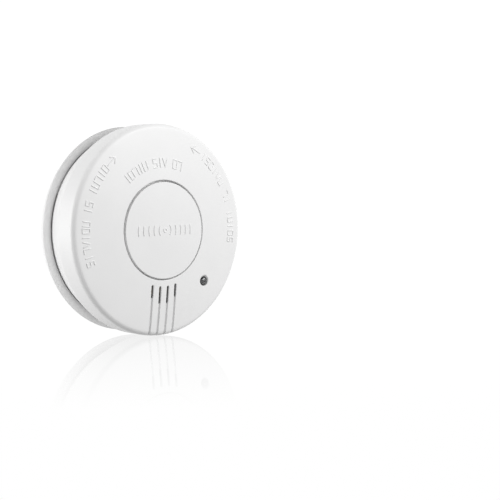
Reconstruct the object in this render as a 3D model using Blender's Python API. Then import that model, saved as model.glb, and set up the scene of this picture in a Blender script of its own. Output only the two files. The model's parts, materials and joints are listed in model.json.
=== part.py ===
"""Round battery smoke alarm on a twist-off mounting plate.

Everything is modelled in the alarm's own frame: x to the right, y up, z straight out of the wall.
The parent empties turn that frame so that in the world the axis lies along Y, the front looks
towards -Y and the origin is the centre of the mounting plate's flat back. Lengths are in metres.
"""

import math

import bmesh
import bpy
from mathutils import Matrix, Vector

# --- Driving dimensions -------------------------------------------------------------------------
RIM_RADIUS = 0.0505            # widest ring of the front cover
DOME_RADIUS = 0.285            # the front is a very flat dome
FRONT_SPACE = 0.0113           # from the circuit board's front to the middle of the dome
SHOULDER_DRAFT = 0.0003        # the side wall is this much narrower at its shoulder
DRAW_HEIGHT = 0.0115           # the side wall draws in over this height behind the shoulder
REAR_DRAW = 0.0053             # how far the cover has drawn in at its rear edge
INLET_GAP = 0.0014             # open ring between the cover and the mounting plate
COVER_WALL = 0.0018
FACE_WALL = 0.0020
RIM_FILLET = 0.0027
SHOULDER_FILLET = 0.0040

PLATE_SETBACK = 0.0007         # the plate is this much smaller than the rim
PLATE_RISE = 0.0007            # the plate's rim stands this far in front of the chassis back
PLATE_BACK_DRAW = 0.0035
PLATE_WAIST_DRAW = 0.0020
PLATE_WAIST_RISE = 0.0009      # from the plate's floor to its waist
PLATE_FLOOR = 0.0018
PLATE_RIM_WALL = 0.0020
PLATE_RIM_FILLET = 0.0007
PLATE_FLANGE = 0.0012          # thickness of the ring that turns in at the rim
FLANGE_CLEARANCE = 0.0015      # from a lug's toe out to that ring

CHASSIS_INSET = 0.0042         # from the cover's rear edge in to the chassis
CHASSIS_FLOOR = 0.0015

BUTTON_RADIUS = 0.02315
BUTTON_GROOVE = 0.0007         # the ring-shaped gap around the button
BUTTON_FLANGE_WIDTH = 0.0008   # how far the flange reaches behind the cover's edge
BUTTON_FLANGE = 0.0011
BUTTON_SKIRT_WALL = 0.0016
BUTTON_CAP = 0.0021
BUTTON_TRAVEL = 0.0010
BUTTON_POST_RADIUS = 0.0026

SLOT_COUNT = 4
SLOT_PITCH = 0.0046
SLOT_WIDTH = 0.0011
SLOT_BORDER = 0.00285          # from the button's hole to the slots' tops, which lie on an arc
SOUND_CIRCLE_RADIUS = 0.0090   # the slots go right through inside this circle
SOUND_CIRCLE_RISE = 0.0007     # the circle's middle lies this far above the arc of slot tops
GROOVE_DEPTH = 0.0005
GROOVE_WRAP = 0.0065           # how far the grooves run down the side wall

INDICATOR_RADIUS = 0.0364      # distance of the light from the middle
INDICATOR_ANGLE = -45.0
LIGHT_PIPE_RADIUS = 0.0020
LIGHT_PIPE_FLANGE_WIDTH = 0.0008
LIGHT_PIPE_FLANGE = 0.0010
LIGHT_PIPE_SINK = 0.0010       # its crown starts this far below the cover's surface
LIGHT_PIPE_CROWN = 0.0013
LED_SIDE = 0.0030
LED_HEIGHT = 0.0012
COUNTERSINK = 0.0006

HOOK_ANGLES = (30.0, 150.0, 270.0)
HOOK_REACH = 0.0043            # from the plate's floor edge in to a hook's tip
HOOK_THICKNESS = 0.0012
HOOK_END = 6.0                 # degrees, as are the starts and ends that follow
HOOK_OVERHANG = 0.6
STOP_START = -10.5
STOP_END = -7.2
LUG_START = -6.6
LUG_END = 6.0
LUG_CLEARANCE = 0.0008         # from a hook's tip in to a lug's neck
LUG_NECK = 0.0016
LUG_REACH = 0.0024             # how far a lug's toe reaches under its hook
LUG_TOE_THICKNESS = 0.0012
LUG_FLOOR_GAP = 0.0006         # from the plate's floor to a lug's toe
STOP_WIDTH = 0.0034

KEYHOLE_X = 0.0240
KEYHOLE_ENTRY_Y = -0.0150
KEYHOLE_LENGTH = 0.0110
KEYHOLE_ENTRY_RADIUS = 0.0043
KEYHOLE_SLOT_WIDTH = 0.0048

BOSS_INSET = 0.0035            # from the chassis edge in to the middle of a screw boss
BOSS_ANGLES = {"top": 90.0, "left": 190.0, "right": 350.0}
BOSS_RADIUS = 0.0030
SCREW_SHANK_RADIUS = 0.0011
SCREW_HEAD_RADIUS = 0.0026
SCREW_HEAD = 0.0015
COVER_SCREW_LENGTH = 0.0090
SCREW_RECESS_SHARE = 0.5
SCREW_RECESS_WIDTH = 0.0006
SCREW_RECESS_DEPTH = 0.0006

BOARD_OVERHANG = 0.0015        # how far the board reaches past the chassis edge
BOARD_THICKNESS = 0.0016
BOARD_POSTS = {"left": (-0.0300, -0.0160), "right": (0.0300, -0.0140)}
BOARD_POST_RADIUS = 0.0026
BOARD_SCREW_SHANK_RADIUS = 0.0009
BOARD_SCREW_HEAD_RADIUS = 0.0023
BOARD_SCREW_LENGTH = 0.0070

BATTERY_LENGTH = 0.0464
BATTERY_WIDTH = 0.0265
BATTERY_THICKNESS = 0.0175
BATTERY_FLOOR_GAP = 0.0016     # from the plate's floor to the battery
BATTERY_LEFT_X = -0.0246
BATTERY_Y = 0.0165
BATTERY_EDGE = 0.0020
BATTERY_PLAY = 0.0005
POCKET_WALL = 0.0015
POCKET_ROOF = 0.0011
TERMINAL_PITCH = 0.0127
TERMINAL_HEIGHT = 0.0020
POSITIVE_TERMINAL_RADIUS = 0.0029
NEGATIVE_TERMINAL_RADIUS = 0.0040
SNAP_WALL = 0.0008
CONTACT_STEM_RADIUS = 0.0012
LEAD_RADIUS = 0.0007
LEAD_BOW = 0.0060
LEAD_DROP = 0.0020

CHAMBER_Y = -0.0220
CHAMBER_RADIUS = 0.0185
CHAMBER_DISC = 0.0013
VANE_COUNT = 16
VANE_MARGIN = 0.0017           # from the chamber's edge in to the vanes
VANE_LENGTH = 0.0043
VANE_THICKNESS = 0.0010
VANE_TWIST = 38.0
VANE_FREE_ANGLE = 32.0         # no vanes this close to a cradle's direction
SCREEN_WALL = 0.0004
SCREEN_WINDOWS = 20
SCREEN_WINDOW_WIDTH = 0.0040
SCREEN_BORDER = 0.0012
OPTIC_RADIUS = 0.0025
OPTIC_LENGTH = 0.0075
OPTIC_REACH = 0.0060           # distance of each lens from the chamber's middle
OPTIC_ANGLES = {"infrared_emitter": 215.0, "photodiode": 325.0}
CRADLE_WALL = 0.0012

HORN_RADIUS = 0.0150
HORN_FRONT_GAP = 0.0011        # from the horn to the inside of the domed front
HORN_WALL = 0.0011
HORN_MOUTH_RADIUS = 0.0060
PIEZO_FIT = 0.0005             # from the horn's wall in to the piezo disc
PIEZO_THICKNESS = 0.00035
CERAMIC_INSET = 0.0039         # from the disc's edge in to its ceramic layer
HORN_CONTACT_START = 0.0015
HORN_CONTACT_SIZE = (0.0080, 0.0020, 0.0004)

SWITCH_SIDE = 0.0062
SWITCH_HEIGHT = 0.0036
PLUNGER_RADIUS = 0.0017
PLUNGER_TRAVEL_SHARE = 0.25    # share of the button's travel that reaches the plunger
PLUNGER_SLACK = 0.0008         # free gap between the button's post and the plunger at rest
PLUNGER_SPARE = 0.0003         # room under the plunger past its travel

CHIP_PLACE = (-0.0240, -0.0020)
CHIP_SIZE = (0.0100, 0.0065, 0.0022)
CHIP_PINS = 6                  # on each side
PIN_PITCH = 0.0016
PIN_WIDTH = 0.0006
PIN_REACH = 0.0012
FRONT_CLEARANCE = 0.0006       # from the tallest parts on the board to the inside of the front
CAPACITORS = {                 # place and radius
    "capacitor_large": ((-0.0335, 0.0110), 0.0032),
    "capacitor_small": ((-0.0320, 0.0190), 0.0022),
}
COIL_PLACE = (0.0340, 0.0080)
COIL_RADIUS = 0.0042
COIL_WAIST = 0.0032
RESISTOR_COUNT = 3
RESISTOR_PLACE = (0.0100, 0.0200)
RESISTOR_STEP = 0.0045
RESISTOR_LENGTH = 0.0060
RESISTOR_BODY_RADIUS = 0.0008
RESISTOR_BELL_RADIUS = 0.0011
RESISTOR_LEAD_RADIUS = 0.0003

GAP = 0.0003                   # clearance between pieces that rest on or fit in each other
RING_PHASE = 0.37              # turns each ring a little, so that cuts never meet a seam
SHELL_SEGMENTS = 60
CHAMBER_SEGMENTS = 48
DISC_SEGMENTS = 36
ROUND_SEGMENTS = 24
FINE_SEGMENTS = 16

# --- Sizes that follow ----------------------------------------------------------------------------
CHASSIS_REAR_HEIGHT = PLATE_FLOOR + LUG_FLOOR_GAP + LUG_TOE_THICKNESS + HOOK_THICKNESS + 2.0 * GAP
PLATE_HEIGHT = CHASSIS_REAR_HEIGHT + PLATE_RISE
PLATE_WAIST_HEIGHT = PLATE_FLOOR + PLATE_WAIST_RISE
SHOULDER_RADIUS = RIM_RADIUS - SHOULDER_DRAFT
COVER_REAR_RADIUS = RIM_RADIUS - REAR_DRAW
COVER_REAR_HEIGHT = PLATE_HEIGHT + INLET_GAP
SHOULDER_HEIGHT = COVER_REAR_HEIGHT + DRAW_HEIGHT
PLATE_RADIUS = RIM_RADIUS - PLATE_SETBACK
PLATE_BACK_RADIUS = PLATE_RADIUS - PLATE_BACK_DRAW
PLATE_WAIST_RADIUS = PLATE_RADIUS - PLATE_WAIST_DRAW
PLATE_FLOOR_RADIUS = PLATE_BACK_RADIUS - PLATE_RIM_WALL / 2.0
CHASSIS_RADIUS = COVER_REAR_RADIUS - CHASSIS_INSET
CHASSIS_FRONT_HEIGHT = CHASSIS_REAR_HEIGHT + CHASSIS_FLOOR
BUTTON_HOLE_RADIUS = BUTTON_RADIUS + BUTTON_GROOVE
SLOT_TOP_RADIUS = BUTTON_HOLE_RADIUS + SLOT_BORDER
SOUND_CIRCLE_Y = SOUND_CIRCLE_RISE - SLOT_TOP_RADIUS
HOOK_INNER_RADIUS = PLATE_FLOOR_RADIUS - HOOK_REACH
HOOK_TOP = CHASSIS_REAR_HEIGHT - GAP
TOE_TOP = HOOK_TOP - HOOK_THICKNESS - GAP
LUG_NECK_OUTER = HOOK_INNER_RADIUS - LUG_CLEARANCE
LUG_NECK_INNER = LUG_NECK_OUTER - LUG_NECK
LUG_TOE_RADIUS = HOOK_INNER_RADIUS + LUG_REACH
PLATE_FLANGE_RADIUS = LUG_TOE_RADIUS + FLANGE_CLEARANCE
BOSS_PITCH_RADIUS = CHASSIS_RADIUS - BOSS_INSET
BATTERY_REAR_HEIGHT = PLATE_FLOOR + BATTERY_FLOOR_GAP
BATTERY_FRONT_HEIGHT = BATTERY_REAR_HEIGHT + BATTERY_THICKNESS
BATTERY_RIGHT_X = BATTERY_LEFT_X + BATTERY_LENGTH
BATTERY_HEIGHT = BATTERY_REAR_HEIGHT + BATTERY_THICKNESS / 2.0
BOARD_RADIUS = CHASSIS_RADIUS + BOARD_OVERHANG
BOARD_REAR_HEIGHT = BATTERY_FRONT_HEIGHT + GAP + POCKET_ROOF + GAP
BOARD_FRONT_HEIGHT = BOARD_REAR_HEIGHT + BOARD_THICKNESS
BOARD_SEAT = BOARD_FRONT_HEIGHT + GAP
FACE_HEIGHT = BOARD_FRONT_HEIGHT + FRONT_SPACE
CONTACT_X = BATTERY_RIGHT_X + GAP + TERMINAL_HEIGHT + GAP
POCKET_RIGHT_X = CONTACT_X + SNAP_WALL + GAP
CHAMBER_REAR_HEIGHT = CHASSIS_FRONT_HEIGHT + 2.0 * GAP
CHAMBER_BASE_HEIGHT = BOARD_REAR_HEIGHT - GAP - CHAMBER_DISC
OPTIC_HEIGHT = (CHAMBER_REAR_HEIGHT + CHAMBER_DISC + CHAMBER_BASE_HEIGHT) / 2.0
VANE_MIDDLE_RADIUS = CHAMBER_RADIUS - VANE_MARGIN - VANE_LENGTH / 2.0
PIEZO_RADIUS = HORN_RADIUS - HORN_WALL - PIEZO_FIT
CERAMIC_RADIUS = PIEZO_RADIUS - CERAMIC_INSET
SCREEN_OUTER_RADIUS = CHAMBER_RADIUS - GAP
INDICATOR_PLACE = (
    INDICATOR_RADIUS * math.cos(math.radians(INDICATOR_ANGLE)),
    INDICATOR_RADIUS * math.sin(math.radians(INDICATOR_ANGLE)),
)


# --- Modelling helpers ----------------------------------------------------------------------------
def clear_scene():
    for old in list(bpy.data.objects):
        bpy.data.objects.remove(old, do_unlink=True)


def plastic(name, colour, roughness=0.5, metallic=0.0, transmission=0.0):
    material = bpy.data.materials.new(name)
    material.use_nodes = True
    shader = material.node_tree.nodes["Principled BSDF"]
    shader.inputs["Base Color"].default_value = (*colour, 1.0)
    shader.inputs["Roughness"].default_value = roughness
    shader.inputs["Metallic"].default_value = metallic
    shader.inputs["Transmission Weight"].default_value = transmission
    return material


def frame_empty(name, parent=None):
    """An empty on the alarm's axis; the top one stands the alarm upright on a wall."""
    empty = bpy.data.objects.new(name, None)
    bpy.context.collection.objects.link(empty)
    if parent is None:
        empty.rotation_euler = (math.radians(90.0), 0.0, 0.0)
    else:
        empty.parent = parent
    return empty


def solid_from(name, mesh_builder, material=None, parent=None):
    mesh = bpy.data.meshes.new(name)
    shape = bmesh.new()
    mesh_builder(shape)
    bmesh.ops.recalc_face_normals(shape, faces=shape.faces)
    shape.to_mesh(mesh)
    shape.free()
    solid = bpy.data.objects.new(name, mesh)
    bpy.context.collection.objects.link(solid)
    solid.parent = parent
    if material is not None:
        mesh.materials.append(material)
    return solid


def smooth(solid, angle=40.0):
    solid.data.shade_smooth()
    solid.data.set_sharp_from_angle(angle=math.radians(angle))


def turned(name, outline, material=None, parent=None, segments=ROUND_SEGMENTS):
    """A closed solid turned about z from a closed outline of (radius, height) points."""
    def build(shape):
        rings = [ring_at(shape, radius, height, segments) for radius, height in outline]
        for lower, upper in zip(rings, rings[1:] + rings[:1]):
            join_rings(shape, lower, upper)
        loose = [vertex for vertex in shape.verts if not vertex.link_faces]
        bmesh.ops.delete(shape, geom=loose, context="VERTS")
    solid = solid_from(name, build, material, parent)
    smooth(solid)
    return solid


def ring_at(shape, radius, height, segments):
    if radius == 0.0:
        return [shape.verts.new((0.0, 0.0, height))]
    angles = [2.0 * math.pi * (step + RING_PHASE) / segments for step in range(segments)]
    return [shape.verts.new((radius * math.cos(a), radius * math.sin(a), height)) for a in angles]


def join_rings(shape, lower, upper):
    """A band between two rings, a fan to a point on the axis, or a flat cap at the same height."""
    count = max(len(lower), len(upper))
    if count == 1:
        return
    if min(len(lower), len(upper)) == 1 and lower[0].co.z == upper[0].co.z:
        shape.faces.new(max(lower, upper, key=len))
        return
    for step in range(count):
        following = (step + 1) % count
        corners = [lower[step % len(lower)], lower[following % len(lower)],
                   upper[following % len(upper)], upper[step % len(upper)]]
        shape.faces.new(list(dict.fromkeys(corners)))


def block(name, low, high, material=None, parent=None):
    centre = (Vector(low) + Vector(high)) / 2.0
    size = Vector(high) - Vector(low)
    placed = Matrix.Translation(centre) @ Matrix.Diagonal((*size, 1.0))
    return solid_from(name, lambda s: bmesh.ops.create_cube(s, size=1.0, matrix=placed), material, parent)


def prism(name, outline, low, high, material=None, parent=None):
    """A flat outline of (x, y) points raised from one height to another."""
    def build(shape):
        base = shape.faces.new([shape.verts.new((x, y, low)) for x, y in outline])
        raised = bmesh.ops.extrude_face_region(shape, geom=[base])
        top = [item for item in raised["geom"] if isinstance(item, bmesh.types.BMVert)]
        bmesh.ops.translate(shape, verts=top, vec=(0.0, 0.0, high - low))
    return solid_from(name, build, material, parent)


def swept(name, outline, start, end, steps=4):
    """A closed outline of (radius, height) points swept about z from one angle to another."""
    def build(shape):
        sections = []
        for step in range(steps + 1):
            angle = math.radians(start + (end - start) * step / steps)
            sections.append([
                shape.verts.new((r * math.cos(angle), r * math.sin(angle), z)) for r, z in outline
            ])
        for one, two in zip(sections, sections[1:]):
            join_rings(shape, one, two)
        shape.faces.new(sections[0])
        shape.faces.new(sections[-1])
    return solid_from(name, build)


def rectangle(inner, outer, low, high):
    return [(inner, low), (outer, low), (outer, high), (inner, high)]


def rod(name, radius, low, high, material=None, parent=None, segments=ROUND_SEGMENTS):
    outline = [(0.0, low), (radius, low), (radius, high), (0.0, high)]
    return turned(name, outline, material, parent, segments)


def tool(solid, parent):
    """Turns a solid into a hidden tool for a Boolean modifier."""
    solid.parent = parent
    solid.hide_render = True
    solid.display_type = "WIRE"
    return solid


def combine(target, other, operation):
    tool(other, target.parent)
    modifier = target.modifiers.new(other.name, "BOOLEAN")
    modifier.operation = operation
    modifier.solver = "EXACT"
    modifier.object = other


def cut(target, *tools):
    for other in tools:
        combine(target, other, "DIFFERENCE")


def join(target, *others):
    for other in others:
        combine(target, other, "UNION")


def at(solid, x=0.0, y=0.0, z=0.0):
    solid.location = (x, y, z)
    return solid


def on_circle(radius, degrees):
    angle = math.radians(degrees)
    return radius * math.cos(angle), radius * math.sin(angle)


def face_height(radius):
    """Height of the domed front at a distance from the middle."""
    return FACE_HEIGHT - (DOME_RADIUS - math.sqrt(DOME_RADIUS**2 - radius**2))


def dome(start, end, steps, sink=0.0):
    radii = [start + (end - start) * step / steps for step in range(steps + 1)]
    return [(radius, face_height(radius) - sink) for radius in radii]


def rounded(before, corner, after, radius, steps=4):
    """The arc that rounds one corner of an outline."""
    corner = Vector(corner)
    one = (Vector(before) - corner).normalized()
    two = (Vector(after) - corner).normalized()
    half = one.angle(two) / 2.0
    middle = corner + (one + two).normalized() * radius / math.sin(half)
    first = corner + one * radius / math.tan(half) - middle
    last = corner + two * radius / math.tan(half) - middle
    sweep = first.angle(last)
    weights = [
        (math.sin(sweep * (1.0 - step / steps)), math.sin(sweep * step / steps)) for step in range(steps + 1)
    ]
    arc = [middle + (first * a + last * b) / math.sin(sweep) for a, b in weights]
    return [tuple(point) for point in arc]


# --- Mounting plate -------------------------------------------------------------------------------
def mounting_plate(material, parent):
    rim_corner = (PLATE_RADIUS, PLATE_HEIGHT)
    waist = (PLATE_WAIST_RADIUS, PLATE_WAIST_HEIGHT)
    flange_low = PLATE_HEIGHT - PLATE_FLANGE
    flange_tip = (PLATE_FLANGE_RADIUS, PLATE_HEIGHT)
    under_flange = (plate_outside(flange_low) - PLATE_RIM_WALL, flange_low)
    inner_waist = (PLATE_WAIST_RADIUS - PLATE_RIM_WALL, PLATE_WAIST_HEIGHT)
    inner_floor = (PLATE_FLOOR_RADIUS, PLATE_FLOOR)
    outline = [(0.0, 0.0), (PLATE_BACK_RADIUS, 0.0), waist]
    outline += rounded(waist, rim_corner, flange_tip, PLATE_RIM_FILLET, 3)
    outline += [flange_tip, (PLATE_FLANGE_RADIUS, flange_low), under_flange, inner_waist, inner_floor,
                (0.0, PLATE_FLOOR)]
    plate = turned("mounting_plate", outline, material, parent, SHELL_SEGMENTS)
    hook_low = HOOK_TOP - HOOK_THICKNESS
    hook_outer = plate_outside(hook_low) - PLATE_RIM_WALL / 3.0
    hook_outline = rectangle(HOOK_INNER_RADIUS, hook_outer, hook_low, HOOK_TOP)
    stop_outline = rectangle(HOOK_INNER_RADIUS, HOOK_INNER_RADIUS + STOP_WIDTH,
                             PLATE_FLOOR / 2.0, HOOK_TOP - HOOK_THICKNESS / 2.0)
    for number, angle in enumerate(HOOK_ANGLES):
        stop = swept(f"stop_{number}", stop_outline, angle + STOP_START, angle + STOP_END, 2)
        hook = swept(f"hook_{number}", hook_outline, angle + STOP_START - HOOK_OVERHANG, angle + HOOK_END)
        join(plate, stop, hook)
    for side in (-1.0, 1.0):
        cut(plate, *keyhole(side * KEYHOLE_X))
    return plate


def plate_outside(height):
    """Radius of the plate's sloped outside, between its waist and its rim."""
    share = (height - PLATE_WAIST_HEIGHT) / (PLATE_HEIGHT - PLATE_WAIST_HEIGHT)
    return PLATE_WAIST_RADIUS + share * (PLATE_RADIUS - PLATE_WAIST_RADIUS)


def keyhole(x):
    """The two cuts of one screw keyhole: the entry for the head, and the slot above it."""
    entry = rod("keyhole_entry", KEYHOLE_ENTRY_RADIUS, -PLATE_FLOOR, 2.0 * PLATE_FLOOR)
    at(entry, x, KEYHOLE_ENTRY_Y)
    half = KEYHOLE_SLOT_WIDTH / 2.0
    top = KEYHOLE_ENTRY_Y + KEYHOLE_LENGTH
    steps = 8
    angles = [math.pi * step / steps for step in range(steps + 1)]
    outline = [(x + half * math.cos(a), top + half * math.sin(a)) for a in angles]
    outline += [(x - half, KEYHOLE_ENTRY_Y), (x + half, KEYHOLE_ENTRY_Y)]
    slot = prism("keyhole_slot", outline, -PLATE_FLOOR, 2.0 * PLATE_FLOOR)
    return entry, slot


# --- Rear chassis ---------------------------------------------------------------------------------
def rear_chassis(material, parent):
    chassis = rod("rear_chassis", CHASSIS_RADIUS, CHASSIS_REAR_HEIGHT, CHASSIS_FRONT_HEIGHT,
                  material, parent, SHELL_SEGMENTS)
    for number, angle in enumerate(HOOK_ANGLES):
        join(chassis, bayonet_lug(number, angle))
    join(chassis, pocket_shell())
    cut(chassis, pocket_space())
    for side, (x, y) in BOARD_POSTS.items():
        post = rod(f"post_{side}", BOARD_POST_RADIUS, CHASSIS_REAR_HEIGHT + CHASSIS_FLOOR / 2.0,
                   BOARD_REAR_HEIGHT - GAP)
        join(chassis, at(post, x, y))
        pilot = rod(f"post_hole_{side}", BOARD_SCREW_SHANK_RADIUS + GAP,
                    BOARD_REAR_HEIGHT - BOARD_SCREW_LENGTH - GAP, BOARD_FRONT_HEIGHT)
        cut(chassis, at(pilot, x, y))
    for side, angle in BOSS_ANGLES.items():
        hole = rod(f"screw_hole_{side}", SCREW_SHANK_RADIUS + GAP, 0.0, BOARD_REAR_HEIGHT)
        cut(chassis, at(hole, *on_circle(BOSS_PITCH_RADIUS, angle)))
    for name, y in terminal_places().items():
        cut(chassis, along_x(rod(f"{name}_stem_hole", CONTACT_STEM_RADIUS + GAP, -POCKET_WALL,
                                 2.0 * POCKET_WALL, segments=FINE_SEGMENTS),
                             POCKET_RIGHT_X, y, BATTERY_HEIGHT))
    return chassis


def bayonet_lug(number, angle):
    """A neck behind the floor with a toe that turns in under the plate's hook."""
    into_floor = CHASSIS_REAR_HEIGHT + CHASSIS_FLOOR / 2.0
    toe_low = TOE_TOP - LUG_TOE_THICKNESS
    outline = [(LUG_NECK_INNER, toe_low), (LUG_TOE_RADIUS, toe_low), (LUG_TOE_RADIUS, TOE_TOP),
               (LUG_NECK_OUTER, TOE_TOP), (LUG_NECK_OUTER, into_floor), (LUG_NECK_INNER, into_floor)]
    return swept(f"lug_{number}", outline, angle + LUG_START, angle + LUG_END)


def pocket_bounds():
    """Inside of the battery pocket: the battery and its contacts with their clearance."""
    side = BATTERY_WIDTH / 2.0 + BATTERY_PLAY
    low = (BATTERY_LEFT_X - GAP, BATTERY_Y - side, 0.0)
    high = (POCKET_RIGHT_X, BATTERY_Y + side, BATTERY_FRONT_HEIGHT + GAP)
    return Vector(low), Vector(high)


def pocket_shell():
    low, high = pocket_bounds()
    wall = Vector((POCKET_WALL, POCKET_WALL, 0.0))
    low = low - wall
    high = high + wall
    low.z = CHASSIS_REAR_HEIGHT + CHASSIS_FLOOR / 3.0
    high.z = BOARD_REAR_HEIGHT - GAP
    return block("pocket_shell", low, high)


def pocket_space():
    low, high = pocket_bounds()
    return block("pocket_space", low, high)


# --- Front cover ----------------------------------------------------------------------------------
def cover_outline():
    rim_edge = (RIM_RADIUS, face_height(RIM_RADIUS))
    shoulder = (SHOULDER_RADIUS, SHOULDER_HEIGHT)
    rear = (COVER_REAR_RADIUS, COVER_REAR_HEIGHT)
    face = dome(BUTTON_HOLE_RADIUS, RIM_RADIUS - 1.2 * RIM_FILLET, 6)
    outside = face + rounded(face[-1], rim_edge, shoulder, RIM_FILLET, 5)
    outside += rounded(rim_edge, shoulder, rear, SHOULDER_FILLET, 3)
    outside.append(rear)
    draw_in = math.atan2(SHOULDER_RADIUS - COVER_REAR_RADIUS, SHOULDER_HEIGHT - COVER_REAR_HEIGHT)
    inner_wall = COVER_WALL / math.cos(draw_in)
    inner_rim = RIM_RADIUS - COVER_WALL
    inside = [(COVER_REAR_RADIUS - inner_wall, COVER_REAR_HEIGHT),
              (SHOULDER_RADIUS - COVER_WALL, SHOULDER_HEIGHT + COVER_WALL * math.tan(draw_in / 2.0)),
              (inner_rim, face_height(inner_rim) - FACE_WALL)]
    inside += dome(inner_rim - RIM_FILLET, BUTTON_HOLE_RADIUS, 3, FACE_WALL)
    return outside + inside


def front_cover(material, parent):
    cover = turned("front_cover", cover_outline(), material, parent, SHELL_SEGMENTS)
    for side, angle in BOSS_ANGLES.items():
        x, y = on_circle(BOSS_PITCH_RADIUS, angle)
        boss_top = face_height(BOSS_PITCH_RADIUS) - FACE_WALL / 2.0
        boss = rod(f"boss_{side}", BOSS_RADIUS, CHASSIS_FRONT_HEIGHT + GAP, boss_top)
        join(cover, at(boss, x, y))
        pilot = rod(f"pilot_{side}", SCREW_SHANK_RADIUS + GAP, 0.0,
                    CHASSIS_REAR_HEIGHT + COVER_SCREW_LENGTH + GAP)
        cut(cover, at(pilot, x, y))
    for number in range(SLOT_COUNT):
        cut(cover, *sound_slot(number, parent))
    x, y = INDICATOR_PLACE
    cut(cover, at(turned("light_hole", light_hole_outline()), x, y))
    return cover


def light_hole_outline():
    """A plain hole that opens into a shallow countersink at the domed surface."""
    hole = LIGHT_PIPE_RADIUS + GAP
    surface = face_height(INDICATOR_RADIUS)
    below = surface - 2.0 * FACE_WALL
    above = surface + COUNTERSINK
    return [(0.0, below), (hole, below), (hole, surface - COUNTERSINK),
            (hole + 2.0 * COUNTERSINK, above), (0.0, above)]


def sound_slot(number, parent):
    """One slot: cut right through over the horn, then a shallow groove that runs over the rim."""
    x = (number - (SLOT_COUNT - 1) / 2.0) * SLOT_PITCH
    half = SLOT_WIDTH / 2.0
    top = -math.sqrt(SLOT_TOP_RADIUS**2 - x**2)
    bottom = SOUND_CIRCLE_Y - math.sqrt(SOUND_CIRCLE_RADIUS**2 - x**2)
    below_wall = face_height(RIM_RADIUS) - 2.0 * FACE_WALL
    above_face = FACE_HEIGHT + FACE_WALL
    through = block(f"slot_{number}", (x - half, bottom, below_wall), (x + half, top, above_face))
    groove = turned(f"groove_{number}", groove_band_outline(), None, parent, SHELL_SEGMENTS)
    strip = block(f"strip_{number}", (x - half, -2.0 * RIM_RADIUS, 0.0),
                  (x + half, bottom + SLOT_WIDTH, 2.0 * FACE_HEIGHT))
    combine(groove, strip, "INTERSECT")
    return through, groove


def groove_band_outline():
    """The skin of the cover, from just under its surface to well outside it."""
    start = SLOT_TOP_RADIUS
    floor = dome(start, RIM_RADIUS - 1.2 * RIM_FILLET, 5, GROOVE_DEPTH)
    corner = (RIM_RADIUS - GROOVE_DEPTH, face_height(RIM_RADIUS) - GROOVE_DEPTH)
    end_height = face_height(RIM_RADIUS) - GROOVE_WRAP
    wall_end = (RIM_RADIUS - GROOVE_DEPTH, end_height)
    outside = RIM_RADIUS + RIM_FILLET
    return floor + rounded(floor[-1], corner, wall_end, RIM_FILLET, 4) + [
        wall_end, (outside, end_height), (outside, FACE_HEIGHT + FACE_WALL),
        (start, FACE_HEIGHT + FACE_WALL)]


# --- Test button and its switch -------------------------------------------------------------------
def test_button(material, parent):
    flange_radius = BUTTON_HOLE_RADIUS + BUTTON_FLANGE_WIDTH
    flange_top = face_height(flange_radius) - FACE_WALL - GAP
    flange_low = flange_top - BUTTON_FLANGE
    skirt_inner = BUTTON_RADIUS - BUTTON_SKIRT_WALL
    cap_low = face_height(skirt_inner) - BUTTON_CAP
    outline = dome(0.0, BUTTON_RADIUS - GAP, 4)
    outline += [(BUTTON_RADIUS, face_height(BUTTON_RADIUS) - GAP), (BUTTON_RADIUS, flange_top),
                (flange_radius, flange_top), (flange_radius, flange_low), (skirt_inner, flange_low),
                (skirt_inner, cap_low), (BUTTON_POST_RADIUS, cap_low),
                (BUTTON_POST_RADIUS, post_end()), (0.0, post_end())]
    return turned("test_button", outline, material, parent, SHELL_SEGMENTS)


def post_end():
    return BOARD_SEAT + SWITCH_HEIGHT + BUTTON_TRAVEL + PLUNGER_SLACK


def tact_switch(material, cap_material, parent, plunger_parent):
    half = SWITCH_SIDE / 2.0
    top = BOARD_SEAT + SWITCH_HEIGHT
    body = block("tact_switch_body", (-half, -half, BOARD_SEAT), (half, half, top), material, parent)
    floor = BOARD_SEAT + SWITCH_HEIGHT / 3.0
    cut(body, rod("switch_well", PLUNGER_RADIUS + GAP, floor, top + GAP))
    push = BUTTON_TRAVEL * PLUNGER_TRAVEL_SHARE
    rod("tact_switch_plunger", PLUNGER_RADIUS, floor + push + PLUNGER_SPARE, post_end() - PLUNGER_SLACK,
        cap_material, plunger_parent)


# --- Circuit board --------------------------------------------------------------------------------
def circuit_board(material, parent):
    board = rod("circuit_board", BOARD_RADIUS, BOARD_REAR_HEIGHT, BOARD_FRONT_HEIGHT,
                material, parent, SHELL_SEGMENTS)
    for side, angle in BOSS_ANGLES.items():
        hole = rod(f"boss_clearance_{side}", BOSS_RADIUS + GAP, 0.0, FACE_HEIGHT)
        cut(board, at(hole, *on_circle(BOSS_PITCH_RADIUS, angle)))
    for side, (x, y) in BOARD_POSTS.items():
        hole = rod(f"board_hole_{side}", BOARD_SCREW_SHANK_RADIUS + GAP, 0.0, FACE_HEIGHT)
        cut(board, at(hole, x, y))
    return board


def screw(name, place, head_low, shank_end, head_radius, shank_radius, material, parent):
    """A pan-head screw along z; the shank runs from the head towards shank_end."""
    if shank_end > head_low:
        crown, seat, tip = head_low, head_low + SCREW_HEAD, shank_end
    else:
        crown, seat, tip = head_low + SCREW_HEAD, head_low, shank_end
    edge = crown + (seat - crown) / 3.0
    taper = tip + math.copysign(shank_radius, seat - tip)
    outline = [(0.0, crown), (head_radius * 0.7, crown), (head_radius, edge), (head_radius, seat),
               (shank_radius, seat), (shank_radius, taper), (0.0, tip)]
    body = turned(name, outline, material, parent, FINE_SEGMENTS)
    at(body, *place)
    cut(body, at(cross_recess(name, head_radius), *place, crown))


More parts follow.
